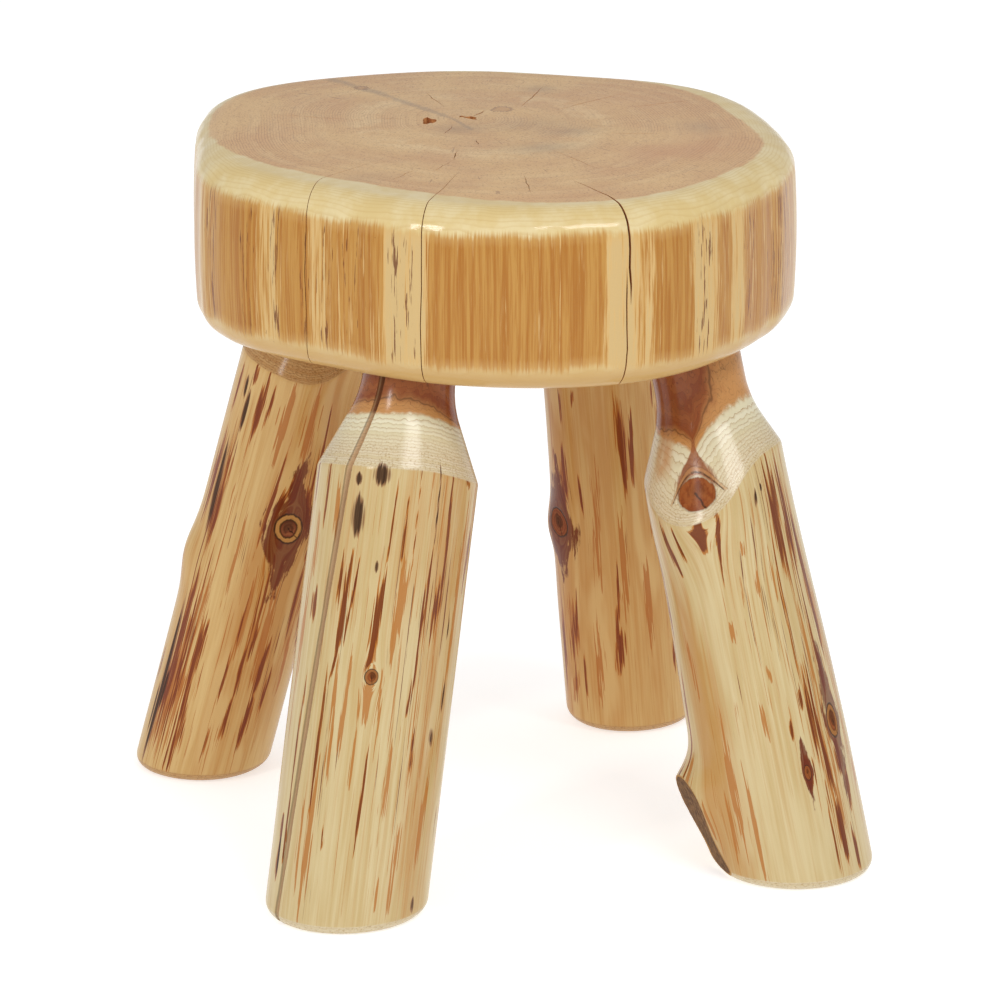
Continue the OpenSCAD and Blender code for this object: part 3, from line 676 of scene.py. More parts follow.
def makeLegMaterial(name, look):
    material, board = woodMaterial(name, look)
    blend, coats, ramp, ease, noise = board.blend, board.coats, board.ramp, board.ease, board.noise
    read, line, high, group = board.attribute, board.line, board.high, board.group
    at = read("skinAt", "Vector")
    ringDepth, dashes = read("ringDepth"), read("dashes")
    reds, oranges, darks = (
        group(markGroup, {"Field": read(field), "At": at, "Ragged": ragged, "Soft": soft})
        for field, ragged, soft in (("reds", 3.6, 0.1), ("oranges", 5.4, 0.1), ("darks", 1.3, 0.2)))

    # sapwood under the bark: cream, with amber where less was shaved off
    slow = noise(at / (14.0, 14.0, 90.0))
    fine = noise(at / (1.1, 1.1, 80.0), 2.0, 0.6)
    middling = noise(at / (3.0, 3.0, 90.0), 3.0, 0.6)
    amber = ease(read("ambers") + (slow - 0.5) * 1.2 + (middling - 0.5) * 1.2 + (fine - 0.5) * 0.5, 0.25, 0.95)
    thin, wide = (
        group(streakGroup, {"At": at, "Width": width, "Length": length, "Seed": seed,
                            "Cut": cut - dashes * 0.12, "Soft": 0.015})["Mask"]
        for width, length, seed, cut in ((1.2, 80.0, 3.0, 0.71), (1.8, 110.0, 31.0, 0.75)))
    skin = coats(
        blend(ease(middling, 0.3, 0.74), "cream", "pale"),
        (amber * 0.9, "amber"), (ramp(fine, 0.48, 0.72, 0.0, 0.4), "amber"), (ease(slow, 0.5, 0.66) * 0.6, "pale"),
        (thin * ramp(middling, 0.4, 0.6, 0.5, 0.9), "orange"), (wide * ramp(fine, 0.3, 0.6, 0.5, 1.0), "red"),
        (oranges["Edge"] * 0.8, "orange"), (reds["Edge"] * 0.9, "orange"),
        (reds["Core"] * ramp(fine, 0.2, 0.7, 0.7, 1.0), "red"))

    # freshly cut wood of the shoulder, the foot's edge and the ends: rings lie closer towards the bark
    ringCount = (1.0 - board.math("EXPONENT", ringDepth / -14.0)) * 28.0
    rings = group(ringGroup, {"Depth": ringCount, "At": at / (4.2, 4.2, 6.0), "Spacing": 1.0, "Wobble": 1.3})
    oldRings = group(ringGroup, {"Depth": ringDepth + board.parts(at)[2] * 0.12, "At": at / (9.0, 9.0, 9.0),
                                 "Spacing": 0.9, "Wobble": 4.0})
    sway = noise(at / (8.0, 8.0, 10.0), 1.0)
    edge = ringDepth + (sway - 0.5) * 1.2
    isHeart = ease(edge, heartAt - 0.5, heartAt + 0.3)
    redAt = edge - heartAt - read("tanBand")
    grit = noise(at / (1.4, 1.4, 1.0), 2.0, 0.6)
    chatter = ramp(ringDepth, 10.0, 4.0)
    sap = coats(
        blend(rings["Tone"], "sap", "sapPale"), (rings["Line"] * 0.3 + rings["Thin"] * 0.6, "sapLine"),
        (high(chatter * 0.2, read("tans") * ramp(sway, 0.3, 0.6, 0.5, 0.9)), "tan"),
        # dark grit specks near the bark: partly the torn grain's own colour, partly painted shade of the tool marks
        (ease(grit, 0.52, 0.66) * chatter * 0.55, "sapLine"))
    heart = coats(
        blend(oldRings["Tone"] * 0.6, "heart", "heartPale"), (ramp(redAt, 0.8, -0.6), "tan"),
        (high(oldRings["Thin"] * 0.55, line(redAt - 0.1, 0.16, 0.04) * 0.5), "dark"))
    isCut = ease(read("underSkin"), 0.15, 0.6)

    knot = group(knotGroup, {
        "Reach": read("knotReach"), "Spindle": read("knotSpindle"), "Halo strength": read("knotHalo"),
        "Local": read("knotLocal", "Vector"), "At": at / (1.6, 1.6, 7.0)})
    knotWood = coats(
        blend(knot["Swirl"] * 0.5, "heart", "heartPale"),
        (knot["Pale"] * 0.85, "amber"), (knot["Blot"] * 0.6, "dark"))

    # the drying check has a dark line of painted shade along each side, and the branch stub's sawn face has a pale
    # rim
    check, side, sawn = read("checkIn"), read("checkSide"), read("sawn")
    checkShade = high(line(side - 0.72, 0.26, 0.1), line(side + 0.86, 0.14, 0.05) * 0.5)
    saw = noise(at * (0.9, 0.9, 0.3), 5.0, 0.7)
    isSawn = ramp(sawn, 0.02, 0.08)
    sawnWood = coats(blend(ease(saw, 0.34, 0.7), "sawDark", "sawPale"), (ramp(sawn, 0.3, 0.16), "amber"))

    colour = coats(
        skin, (isCut, blend(isHeart, sap, heart)),
        (darks["Edge"] * 0.7, "red"), (darks["Core"] * ramp(fine, 0.25, 0.75, 0.7, 1.0), "dark"),
        (knot["Halo"] * ramp(fine, 0.3, 0.7, 0.8, 1.0), "flame"),
        (knot["Cone"] * 0.9, blend(knot["Swirl"] * 0.6, "heart", "heartPale")), (knot["Lid"] * 0.5, "tan"),
        (knot["Core"], knotWood), (knot["Line"] * 0.8, "dark"),
        (ramp(check, 0.1, 0.4, 0.0, 0.95), "check"), (isHeart * isCut * ramp(check, 0.2, 0.5) * 0.8, "heart"),
        # the dark lines along the drying check's sides are painted shade
        (checkShade * ramp(check, 0.02, 0.1) * 0.9, "checkShadeColour"), (isSawn, sawnWood))
    height = (fine * 0.2 + middling * 0.3 + rings["Line"] * isCut * -0.7 + grit * chatter * isCut * 2.2
              + reds["Core"] * -0.15 + darks["Core"] * -0.3 + knot["Line"] * -0.6
              + knot["Swirl"] * knot["Core"] * 0.3 + isSawn * saw * 1.5)
    bare = isSawn + darks["Core"] * 0.4 + check * 0.8 + knot["Core"]
    finishMaterial(board, colour, ramp(bare, 0.0, 1.0, 0.32, 0.8), height, ramp(bare, 0.0, 1.0, 1.0, 0.2))
    return material


legTree = buildLegTree()
legWoods = {name: makeLegMaterial(name.replace("_", " "), look) for name, look in legLooks.items()}
for name, leg in legs.items():
    makeLeg(name, leg, legTree, legWoods[leg["slot"]])


# Seat slab
seat = {
    "radius": 172.0,
    "centre": (0.516, 8.5),
    "lobes": [
        (2, 0.0413, -55), (3, 0.0244, 17), (4, 0.0198, 19), (5, 0.0105, -26), (6, 0.0087, 12), (7, 0.0116, -25)],
    "belly": 1.03,
    "topRound": 18.0,
    "bottomRound": 17.0,
    "pith": (2.0, 49.0),
    "flutes": 0.45,
    "columns": 420, "topRings": 62, "roundRings": 12, "sideRings": 34, "lowRings": 36,
    "bandTop": 13, "bandLow": 13.5,  # how far from the slab's faces the side's own skin begins
    "paleRing": 68.0,  # the top has a paler ring at this radius
    # where the sapwood's inner edge lies: share of the outline by count, height and first bearing
    "heartEdge": 0.881,
    "heartWaves": [
        (1, 0.031, 81), (2, 0.037, -52), (3, 0.0195, 41), (4, 0.0103, -28), (5, 0.005, 32), (6, 0.011, -24),
        (7, 0.005, 3)],
    # how much of the amber last layer is left round the side, by bearing: 1 is all, 0 is shaved to pale wood
    "amberLeft": [
        (2, 0.75), (8, 0.2), (20, 0.2), (23, 0.95), (46, 0.8), (49, 0.3), (54, 0.3), (57, 0.85), (78, 0.9),
        (80, 0.15), (92, 0.2), (94, 0.95), (120, 0.8), (122, 0.3), (126, 0.3), (128, 0.9), (150, 0.8), (152, 0.15),
        (160, 0.2), (163, 0.8), (176, 0.6), (180, 0.4), (184, 0.7), (190, 0.8), (191, 1.1), (199, 1), (200, 0.4),
        (204, 0.4), (205, 0.75), (209, 0.95), (212, 0.9), (213, 0.35), (216, 0.4), (217, 0.7), (222, 0.75),
        (229, 0.85), (230.2, 0.12), (237.6, 0.1), (238.6, 0.85), (242, 1), (262, 0.85), (270.5, 0.95), (271.8, 0),
        (276, 0.05), (277, 0.5), (281, 0.55), (282, 0.9), (288.6, 0.9), (289.6, 0.15), (294.6, 0.2), (295.6, 0.8),
        (299.6, 0.8), (300.4, 0.15), (302.4, 0.15), (303.2, 0.75), (327, 0.7), (335, 0.3), (340, 0.3), (345, 0.85)],
    # bearing and half width of the bundles of dark dashes down the side
    "dashes": [
        (197, 2.2), (204, 2), (211, 1.4), (216, 1.6), (222, 3), (232, 1.4), (235.5, 1.6), (292, 2.2), (305, 4),
        (320, 8), (185, 3), (30, 6), (85, 5), (100, 6), (140, 6), (155, 3)],
    # small brown scars and specks on the side: bearing, height, half width and half height in mm
    "scars": [
        (198.6, 320.5, 1, 3), (200.2, 317, 0.8, 2.6), (201.6, 320, 1.1, 2.4), (203.4, 315.5, 1.2, 2.6),
        (201.9, 324, 0.7, 1.4), (320, 389, 2.2, 1.1), (228, 386, 0.9, 0.9), (242.5, 383, 0.8, 0.9)],
    # drying checks: line on the top from the rim inwards, lowest and highest point, width at the rim
    "checks": [
        {"line": [(-152, -92), (-137, -76), (-122, -54), (-101, -40), (-83, -28)],
         "low": 300, "high": 410, "width": 0.45, "wander": 0.45, "seed": 40},
        {"line": [(-101, -152), (-88, -131), (-78, -117), (-63, -95), (-44, -65)],
         "low": 300, "high": 410, "width": 0.6, "wander": 0.45, "seed": 41},
        {"line": [(20, -184), (17.5, -160), (16.5, -140), (13, -118), (9, -100)],
         "low": 352, "high": 410, "width": 1.4, "wander": 0.45, "seed": 42},
    ],
    # this one overlaps the last of them, so it is cut by itself
    "lowerCheck": {"line": [(17, -184), (15.5, -160), (14.5, -148), (13, -135)],
                   "low": 300, "high": 373, "width": 0.9, "wander": 0.35, "seed": 60},
    # hairline checks in the top: both ends and width
    "hairs": [
        ((66, 106), (36, 62), 0.5), ((-4, 116), (-5, 76), 0.4), ((108, 76), (46, 46), 0.4),
        ((-108, 96), (-58, 62), 0.35), ((-12, 0), (-15, -13), 0.5), ((-30, -20), (-39, -40), 0.5),
        ((-12, -82), (-22, -124), 0.4), ((-60, -62), (-39, -40), 0.3), ((20, -30), (33, -92), 0.3),
        ((15, 62), (4, 51), 0.8), ((-13, 36), (-26, 16), 0.4), ((92, 42), (140, 46), 0.35),
        ((-50, 66), (-36, 58), 0.4), ((60, -8), (96, -24), 0.3), ((-88, -72), (-62, -50), 0.3)],
    # grey streak from the back rim to the pith, soft grey and reddish clouds: x, y, half widths, strength
    "greyStreak": [(-45, 160), (-37, 138), (-28, 112), (-18, 82), (-9, 50), (-7, 22)],
    "greys": [
        (18, -30, 20, 12, 0.7), (46, 0, 16, 9, 0.6), (118, -15, 12, 16, 0.5), (-14, 26, 13, 10, 0.6),
        (62, 100, 10, 9, 0.6), (30, 22, 26, 16, 0.4), (-100, -60, 16, 12, 0.3)],
    "blushes": [(84, -62, 34, 22, 0.8), (118, -30, 22, 34, 0.5), (-40, -130, 60, 14, 0.4), (90, 60, 40, 30, 0.4)],
    "ovals": [(25.6, 61.8, 5, 6, 0.95), (-36, 136, 4.5, 5, 0.8), (20, 60, 2.4, 2.2, 0.6)],
    # small dark holes beside the pith: x, y, half width, half height, turn
    "holes": [(-23.5, 49.5, 4, 7, -20), (1.5, 48.5, 2.6, 4.4, 30), (-2.5, 53, 1.4, 1.6, 0)],
}


def waveSum(bearing, waves):
    return sum(height * np.cos(np.radians(count * (bearing - first))) for count, height, first in waves)


def outlineRadius(bearing):
    return seat["radius"] * (1 + waveSum(bearing, seat["lobes"]))


def outlinePoint(bearing, inset):
    radius = outlineRadius(bearing)
    slope = np.degrees(outlineRadius(bearing + 0.5) - outlineRadius(bearing - 0.5))
    c, s = np.cos(np.radians(bearing)), np.sin(np.radians(bearing))
    normal = np.stack([radius * c + slope * s, radius * s - slope * c], -1)
    normal /= np.linalg.norm(normal, axis=-1, keepdims=True)
    return np.array(seat["centre"]) + np.stack([radius * c, radius * s], -1) - normal * np.asarray(inset)[..., None]


def ripple(bearing, counts, seed):
    # a fixed wavy sum, the same on every run
    dice = np.random.default_rng(seed)
    waves = [(count, dice.uniform(0, 360)) for count in counts]
    return sum(np.cos(np.radians(count * bearing + first)) for count, first in waves) / len(waves) ** 0.5


def meshFrom(name, points, faces):
    mesh = bpy.data.meshes.new(name)
    mesh.from_pydata(np.array(points) * mm, [], faces)
    return mesh


def wallFaces(rings, columns):
    # the faces between rings of points that lie one under the other
    faces = []
    for first in range(0, (rings - 1) * columns, columns):
        for k in range(columns):
            a, b = first + k, first + (k + 1) % columns
            faces.append((a, a + columns, b + columns, b))
    return faces


def tubeFaces(rings, columns):
    count = rings * columns
    return wallFaces(rings, columns) + [tuple(range(columns)), tuple(range(count - 1, count - columns - 1, -1))]


def slabMesh():
    columns, sideRings, roundRings = seat["columns"], seat["sideRings"], seat["roundRings"]
    top, low, topRound, lowRound = stool["height"], underside, seat["topRound"], seat["bottomRound"]
    bearing = np.arange(columns) * 360 / columns
    flutes = ripple(bearing, (11, 17, 23, 29, 38, 47), 5) * seat["flutes"]
    centre = np.array(seat["centre"])
    nearMiddle, nearEdge = 0.012, 0.99  # shares of the way out where a flat face's rings begin and end
    quarter = [math.radians(90 * step / roundRings) for step in range(roundRings + 1)]
    rings = []

    def ring(inset, height, share=1.0, flute=0.0):
        edge = outlinePoint(bearing, inset - flutes * flute)
        rings.append(np.column_stack([centre + (edge - centre) * share, np.full(columns, height)]))

    for share in np.linspace(nearMiddle, nearEdge, seat["topRings"]):
        ring(topRound, top, share)
    for a in quarter:
        ring(topRound * (1 - math.sin(a)), top - topRound * (1 - math.cos(a)), 1.0, math.sin(a) ** 2)
    sideTop, sideLow = top - topRound, low + lowRound
    for step in range(1, sideRings):
        share = step / sideRings
        belly = seat["belly"] * (1 - (2 * share - 1) ** 2)
        ring(-belly, sideTop + (sideLow - sideTop) * share, 1.0, 1.0)
    for a in quarter:
        ring(lowRound * (1 - math.cos(a)), low + lowRound * (1 - math.sin(a)), 1.0, math.cos(a) ** 2)
    for share in np.linspace(nearEdge, nearMiddle, seat["lowRings"]):
        ring(lowRound, low, share)

    points = [tuple(p) for p in np.concatenate(rings)] + [(*seat["centre"], top), (*seat["centre"], low)]
    faces = wallFaces(len(rings), columns)
    last = (len(rings) - 1) * columns
    for k in range(columns):
        n = (k + 1) % columns
        faces += [(len(points) - 2, k, n), (len(points) - 1, last + n, last + k)]
    mesh = meshFrom("seat slab", points, faces)
    turnOutwards(mesh)
    return mesh


def bladeParts(check):
    # a thin wedge that opens at the rim and closes inwards; its cut wanders a little with the height
    stations, levels = 18, 12
    line, wander = np.array(check["line"], float), check["wander"]
    steps = np.r_[0, np.cumsum(np.linalg.norm(np.diff(line, axis=0), axis=1))]
    along = np.linspace(0, steps[-1], stations)
    middle = np.column_stack([np.interp(along, steps, line[:, i]) for i in (0, 1)])
    tangent = np.gradient(middle, axis=0)
    side = np.column_stack([-tangent[:, 1], tangent[:, 0]]) / np.linalg.norm(tangent, axis=1)[:, None]
    dice = np.random.default_rng(check["seed"])
    shake = np.interp(along, np.linspace(0, steps[-1], 9), dice.uniform(-wander, wander, 9))
    heights = np.linspace(check["low"], check["high"], levels)
    sway = np.interp(np.arange(levels), np.arange(0, levels, 2), dice.uniform(-wander, wander, 6) * 1.6)
    points, faces = [], []
    for z, drift in zip(heights, sway):
        taper = 1.0
        if check["low"] > underside:
            taper = min(1.0, (z - check["low"]) / 14 + 0.05)
        if check["high"] < stool["height"]:
            taper = min(taper, (check["high"] - z) / 14 + 0.05)
        for i, share in enumerate(along / steps[-1]):
            half = check["width"] / 2 * (1 - share) ** 0.8 * taper + 0.03
            for sign in (-1, 1):
                points.append((*(middle[i] + side[i] * (shake[i] + drift + sign * half)), z))
    across = 2 * stations
    for first in range(0, (levels - 1) * across, across):
        for a in range(first, first + across - 2, 2):
            faces += [(a, a + 2, a + 2 + across, a + across), (a + 1, a + 1 + across, a + 3 + across, a + 3)]
        a, b = first, first + across - 2
        faces += [(a, a + across, a + 1 + across, a + 1), (b, b + 1, b + 1 + across, b + across)]
    for a in range(0, across - 2, 2):
        b = (levels - 1) * across + a
        faces += [(a, a + 1, a + 3, a + 2), (b, b + 2, b + 3, b + 1)]
    return points, faces


def hairParts(start, end, width):
    # a shallow V cut with pointed ends
    start, end = np.array(start, float), np.array(end, float)
    side = np.array([start[1] - end[1], end[0] - start[0]]) / np.linalg.norm(end - start)
    top, stations = stool["height"], 8
    dice = np.random.default_rng(int(abs(start[0] * 7 + start[1])) + 1)
    points, faces = [], []
    for t in np.linspace(0, 1, stations):
        swell = math.sin(math.pi * t)
        p = start + (end - start) * t + side * dice.uniform(-0.7, 0.7) * swell
        half = width / 2 * max(0.12, swell)
        lip = side * half * 1.5
        points += [(*(p - lip), top + 1), (*(p + lip), top + 1), (*p, top - 2.5 * max(0.2, swell))]
    last = 3 * (stations - 1)
    for a in range(0, last, 3):
        faces += [(a, a + 1, a + 4, a + 3), (a + 1, a + 2, a + 5, a + 4), (a + 2, a, a + 3, a + 5)]
    return points, faces + [(0, 2, 1), (last, last + 1, last + 2)]


def holeParts(x, y, halfWidth, halfHeight, turn):
    top, sides = stool["height"], 14
    dice = np.random.default_rng(int(abs(x * 3 + y)))
    points = []
    c, s = math.cos(math.radians(turn)), math.sin(math.radians(turn))
    levels = [(top + 1, 1.05), (top - 1.5, 0.9), (top - 5, 0.62), (top - 8, 0.2)]
    for z, share in levels:
        for k in range(sides):
            a = fullTurn * k / sides
            wobble = 1 + (0.22 * math.sin(3 * a + x) + 0.12 * math.sin(5 * a + y)) + dice.uniform(-0.05, 0.05)
            u, v = halfWidth * share * wobble * math.cos(a), halfHeight * share * wobble * math.sin(a)
            points.append((x + u * c - v * s, y + u * s + v * c, z))
    return points, tubeFaces(len(levels), sides)


def mortiseParts(leg):
    lean, heading, x, y = legPlace(leg)
    lean, heading, base = math.radians(lean), math.radians(heading), Vector((x, y, underside))
    axis = Vector((-math.sin(lean) * math.cos(heading), -math.sin(lean) * math.sin(heading), math.cos(lean)))
    sideways = Vector((-math.sin(heading), math.cos(heading), 0))
    inward = sideways.cross(axis)
    radius = legInputs["Tenon diameter"] / 2 + stool["glueGap"]
    deep, under, sides = legInputs["Tenon length"] + stool["endRelief"], -26.0, 72
    points = []
    for along in (deep, under):
        for k in range(sides):
            a = fullTurn * k / sides
            points.append(tuple(base + axis * along + (inward * math.cos(a) + sideways * math.sin(a)) * radius))
    return points, tubeFaces(2, sides)


def cutterFrom(name, partsList):
    # joins the parts into one cutter, and what it cuts shows the slab's second material
    points, faces = [], []
    for newPoints, newFaces in partsList:
        first = len(points)
        points += newPoints
        faces += [tuple(first + v for v in face) for face in newFaces]
    mesh = meshFrom(name, points, faces)
    mesh.materials.append(None)
    mesh.materials.append(None)
    mesh.polygons.foreach_set("material_index", [1] * len(faces))
    work = bmesh.new()
    work.from_mesh(mesh)
    bmesh.ops.recalc_face_normals(work, faces=work.faces)  # outwards on each loose part
    work.to_mesh(mesh)
    work.free()
    return newObject(name, mesh)


def makeSeat(material, checkMaterial):
    mesh = slabMesh()
    mesh.materials.append(material)
    mesh.materials.append(checkMaterial)
    piece = newObject("log_slab_seat", mesh)
    cuts = {
        "mortises": [mortiseParts(leg) for leg in legs.values()],
        "holes": [holeParts(*hole) for hole in seat["holes"]],
        "checks": [bladeParts(check) for check in seat["checks"]],
        "lower check": [bladeParts(seat["lowerCheck"])],
        "hairs": [hairParts(*hair) for hair in seat["hairs"]],
    }
    for name, partsList in cuts.items():
        cutter = cutterFrom(name, partsList)
        step = piece.modifiers.new(name, "BOOLEAN")
        step.operation = "DIFFERENCE"
        step.solver = "EXACT"
        step.use_self = name in ("hairs", "holes")
        step.object = cutter
        mesh = bpy.data.meshes.new_from_object(piece.evaluated_get(bpy.context.evaluated_depsgraph_get()))
        piece.modifiers.clear()
        piece.data = mesh
        print("seat after", name, len(mesh.polygons), "faces")
        bpy.data.objects.remove(cutter)
    turnOutwards(mesh)
    paintSeat(mesh)
    mesh.shade_smooth()
    mesh.set_sharp_from_angle(angle=math.radians(32))
    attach(piece, "root")
    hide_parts("seat_slab")
    print("seat:", len(mesh.polygons), "faces")


def bearingOf(steps):
    return np.degrees(np.arctan2(steps[:, 1], steps[:, 0])) % 360


def paintSeat(mesh):
    points = readPoints(mesh) / mm
    flat, z = points[:, :2], points[:, 2]
    centre, pith = np.array(seat["centre"]), np.array(seat["pith"])
    bearing = bearingOf(flat - centre)
    share = np.linalg.norm(flat - centre, axis=1) / outlineRadius(bearing)
    onTop = z > stool["height"] - 1

    # growth rings run from the pith out to the outline
    edge = outlinePoint(np.arange(0, 360, 0.5), 0.0) - pith
    edgeTurn, pithTurn = bearingOf(edge), bearingOf(flat - pith)
    order = np.argsort(edgeTurn)
    reach = np.interp(pithTurn, edgeTurn[order], np.linalg.norm(edge, axis=1)[order], period=360)
    ringAt = np.linalg.norm(flat - pith, axis=1) / reach * seat["radius"]
    fields = {"ringAt": ringAt, "rayAt": onDrum(60, pithTurn, ringAt)}
    for name in ("greys", "blushes", "ovals"):
        cloud = sum(strength * np.exp(-((flat[:, 0] - x) / halfX) ** 2 - ((flat[:, 1] - y) / halfY) ** 2)
                    for x, y, halfX, halfY, strength in seat[name])
        fields[name] = cloud * onTop
    line = np.array(seat["greyStreak"], float)
    streak = np.full(len(points), 99.0)
    for a, b in zip(line[:-1], line[1:]):
        along = np.clip(((flat - a) @ (b - a)) / ((b - a) @ (b - a)), 0, 1)
        streak = np.minimum(streak, np.linalg.norm(flat - a - along[:, None] * (b - a), axis=1))
    halfWidth = np.interp(flat[:, 1], (30, 150), (2.2, 5.0))
    fields["greyStreak"] = np.where(onTop, 1 - streak / halfWidth, -3)

    heart = seat["heartEdge"] + waveSum(bearing, seat["heartWaves"])
    fields["pastHeart"] = (share - heart) * seat["radius"]
    stops, left = np.array(seat["amberLeft"], float).T
    fields["amberLeft"] = sum(np.interp(bearing + shift, stops, left, period=360) for shift in (-0.7, 0.0, 0.7)) / 3
    fields["dashes"] = np.max([np.exp(-(turnApart(bearing, atBearing) / halfWidth) ** 2)
                               for atBearing, halfWidth in seat["dashes"]], axis=0)
    scars = np.full(len(bearing), -3.0)
    for atBearing, height, halfWidth, halfHeight in seat["scars"]:
        across = arc(bearing, atBearing, seat["radius"]) / halfWidth
        scars = np.maximum(scars, 1 - across ** 2 - ((z - height) / halfHeight) ** 2)
    fields["scars"] = scars

    # how far a point lies inside the band of the side that the rounding cutter left alone
    bandTop = stool["height"] - seat["bandTop"] + ripple(bearing, (5, 11, 17, 26), 8)
    bandLow = underside + seat["bandLow"] + ripple(bearing, (7, 13, 22, 31), 9) * 1.3
    fields["sideBand"] = np.where(share > 0.85, np.minimum(bandTop - z, z - bandLow), -20)
    fields["skinAt"] = onDrum(seat["radius"], bearing, z)
    for name, values in fields.items():
        writeValues(mesh, name, values)


seatLook = {
    "heart": paint(208, 168, 112), "heartRed": paint(200, 154, 102), "ring": paint(140, 94, 50),
    "heartPale": paint(222, 190, 138), "ray": paint(116, 74, 40), "grey": paint(136, 112, 86),
    "blush": paint(188, 130, 84), "oval": paint(182, 134, 80),
    "sap": paint(208, 184, 128), "sapPale": paint(216, 198, 152), "sapLine": paint(186, 150, 92),
    "amber": paint(182, 134, 64), "amberDeep": paint(162, 104, 34), "amberPale": paint(204, 168, 108),
    "streak": paint(100, 46, 12), "pale": paint(198, 168, 114), "low": paint(190, 152, 94),
    "bump": 0.3, "coat": 0.5, "coatRoughness": 0.12,
}


def makeSeatMaterial():
    material, board = woodMaterial("seat wood", seatLook)
    blend, coats, ramp, ease, noise = board.blend, board.coats, board.ramp, board.ease, board.noise
    read, line, group = board.attribute, board.line, board.group
    place = board.out(board.node("ShaderNodeTexCoord"), "Object") * (1000.0, 1000.0, 1000.0)
    at = read("skinAt", "Vector")
    ringAt = read("ringAt")
    cloud = noise(place * (0.02, 0.02, 0.02), 3.0)
    patch = noise(place * (0.06, 0.06, 0.06), 4.0, 0.6)
    pores = noise(place * (0.9, 0.9, 0.9), 3.0, 0.7)
    rings, bands = (
        group(ringGroup, {"Depth": ringAt, "At": place * shrink, "Spacing": spacing, "Wobble": wobble})
        for shrink, spacing, wobble in (((0.03, 0.03, 0.0), 1.7, 5.0), ((0.02, 0.02, 0.0), 7.0, 9.0)))
    rays = noise(read("rayAt", "Vector") / (1.6, 1.6, 26.0), 3.0, 0.6)
    paleRing = line(ringAt - seat["paleRing"] + (patch - 0.5) * 16.0, 14.0, 3.0)
    streak = ease(read("greyStreak") + (patch - 0.5) * 2.2 + (pores - 0.5) * 1.4, -0.2, 1.0)
    ovals = read("ovals") + (pores - 0.5) * 1.2 + (patch - 0.5) * 0.5
    heart = coats(
        blend(ease(cloud, 0.35, 0.7), "heart", "heartRed"),
        ((bands["Tone"] * 0.3 + paleRing * 0.5) * ease(patch, 0.35, 0.6), "heartPale"),
        (bands["Line"] * ease(patch, 0.4, 0.65) * 0.22, "ring"),
        (rings["Line"] * ease(cloud, 0.35, 0.6) * 0.5, "ring"),
        (ease(rays, 0.68, 0.72) * 0.5, "ray"), (ease(pores, 0.5, 0.7) * 0.65, "ring"),
        (read("blushes") * 0.6, "blush"), (read("greys") * 0.6, "grey"), (streak * 0.5, "grey"),
        (ease(ovals, 0.35, 0.6) * 0.7, "oval"), (line(ovals - 0.4, 0.16, 0.04) * 0.7, "ray"))
    sap = coats(
        blend(ease(patch, 0.35, 0.7), "sap", "sapPale"), (rings["Line"] * 0.4, "sapLine"),
        (ease(board.parts(at)[2], underside + 21.5, underside + 7.5) * 0.9, "low"))
    edge = read("pastHeart") + (patch - 0.5) * 7.0 + (pores - 0.5) * 1.5
    top = blend(ease(edge, -1.3, 1.3), heart, sap)

    # the side: amber where the bark's last layer was left, in upright streaks
    fine = noise(at / (1.1, 1.1, 36.0), 3.0, 0.65)
    middling = noise(at / (2.4, 2.4, 110.0), 3.0, 0.6)
    broad = noise(at / (9.0, 9.0, 300.0))
    left = read("amberLeft") + (middling - 0.5) * 1.5 + (fine - 0.5) * 1.5 + (broad - 0.5) * 0.6
    amber = coats(blend(ease(middling, 0.36, 0.62), "amberDeep", "amber"), (ease(fine, 0.5, 0.66) * 0.6, "amberDeep"))
    dashes = group(streakGroup, {"At": at, "Width": 1.4, "Length": 26.0, "Seed": 7.0, "Soft": 0.02,
                                 "Cut": 0.77 - read("dashes") * 0.2})["Mask"]
    inside = read("sideBand") + (fine - 0.5) * 9.0 + (middling - 0.5) * 5.0
    inBand = ease(inside, -2.2, 2.6)
    side = coats(
        blend(ease(left, 0.3, 0.7), "amberPale", amber), (ease(left, 0.35, 0.15), "pale"),
        (dashes * 0.85, "streak"), (ramp(inside, 7.0, 0.0, 0.0, 0.5), "amberPale"))
    scars = ease(read("scars") + (pores - 0.5) * 2.4, 0.2, 0.6)
    height = fine * inBand * 0.25 + middling * inBand * 0.4 + rings["Line"] * -0.2 + patch * 0.3
    finishMaterial(board, coats(top, (inBand, side), (scars * 0.8, "streak")), 0.32, height)
    return material


checkLook = {"brown": paint(146, 84, 46), "tan": paint(204, 144, 92), "bump": 0.3, "coat": 0.0, "coatRoughness": 0.3}


def makeCheckMaterial():
    material, board = woodMaterial("check wood", checkLook)
    place = board.out(board.node("ShaderNodeTexCoord"), "Object")
    grain = board.noise(place * (900.0, 900.0, 60.0), 3.0, 0.6)
    finishMaterial(board, board.blend(board.ease(grain, 0.3, 0.7), "brown", "tan"), 0.7, grain)
    return material


makeSeat(makeSeatMaterial(), makeCheckMaterial())


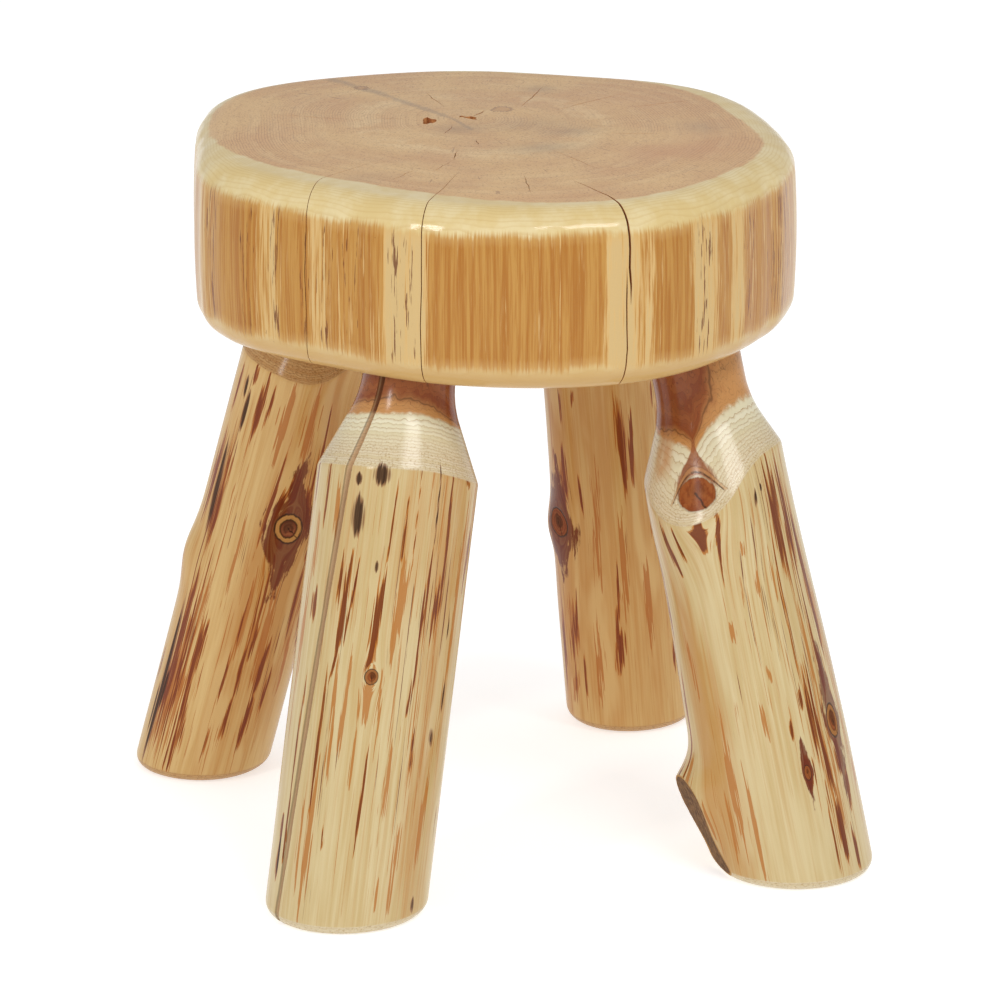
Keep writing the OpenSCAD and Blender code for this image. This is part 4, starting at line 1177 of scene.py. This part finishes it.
# Floor, lights and camera
studio = {
    "target": (0.001, 0.004, 0.2), "azimuth": -19.0, "elevation": 17.1, "distance": 4.2,
    "lens": 263.16, "shiftX": 0.0047, "shiftY": -0.0162,
    # azimuth, elevation, distance, size and power
    "lights": {"left softbox": (209, 30, 2.2, (0.24, 0.6), 9), "right softbox": (280, 46, 2.2, (1.0, 0.4), 15)},
    "lightsAt": (0, 0, 0.25), "world": 0.64, "floorHalf": 8000, "floorGrey": (0.7, 0.7, 0.7, 1), "floorGlow": 0.58,
}


def makeFloor():
    half = studio["floorHalf"]
    corners = [(-half, -half, 0), (half, -half, 0), (half, half, 0), (-half, half, 0)]
    floor = newObject("studio_floor", meshFrom("floor", corners, [(0, 1, 2, 3)]))
    material, board = woodMaterial("pale floor")
    shader = board.node("ShaderNodeBsdfPrincipled", {
        "Base Color": studio["floorGrey"], "Roughness": 0.9,
        "Emission Color": (1, 1, 1, 1), "Emission Strength": studio["floorGlow"]})
    board.node("ShaderNodeOutputMaterial", {"Surface": board.out(shader)})
    floor.data.materials.append(material)


def stand(obj, target, azimuth, elevation, distance):
    # stands a light or the camera away from its target and turns it that way
    a, e, target = math.radians(azimuth), math.radians(elevation), Vector(target)
    obj.location = target + Vector((math.cos(a) * math.cos(e), math.sin(a) * math.cos(e), math.sin(e))) * distance
    obj.rotation_euler = (target - obj.location).to_track_quat("-Z", "Y").to_euler()


def makeLight(name, azimuth, elevation, distance, size, power):
    lamp = bpy.data.lights.new(name, "AREA")
    lamp.shape = "RECTANGLE"
    lamp.size, lamp.size_y = size
    lamp.energy = power
    stand(newObject(name, lamp), studio["lightsAt"], azimuth, elevation, distance)


def makeCamera():
    lens = bpy.data.cameras.new("camera")
    lens.lens = studio["lens"]
    lens.sensor_width = 36
    lens.shift_x, lens.shift_y = studio["shiftX"], studio["shiftY"]
    camera = newObject("camera", lens)
    stand(camera, studio["target"], 270 + studio["azimuth"], studio["elevation"], studio["distance"])
    bpy.context.scene.camera = camera


makeFloor()
for name, light in studio["lights"].items():
    makeLight(name, *light)
world = bpy.data.worlds.new("white studio")
bpy.context.scene.world = world
world.use_nodes = True
background = world.node_tree.nodes["Background"]
background.inputs["Color"].default_value = (1, 1, 1, 1)
background.inputs["Strength"].default_value = studio["world"]
bpy.context.scene.view_settings.view_transform = "Standard"
makeCamera()
print("studio ready")
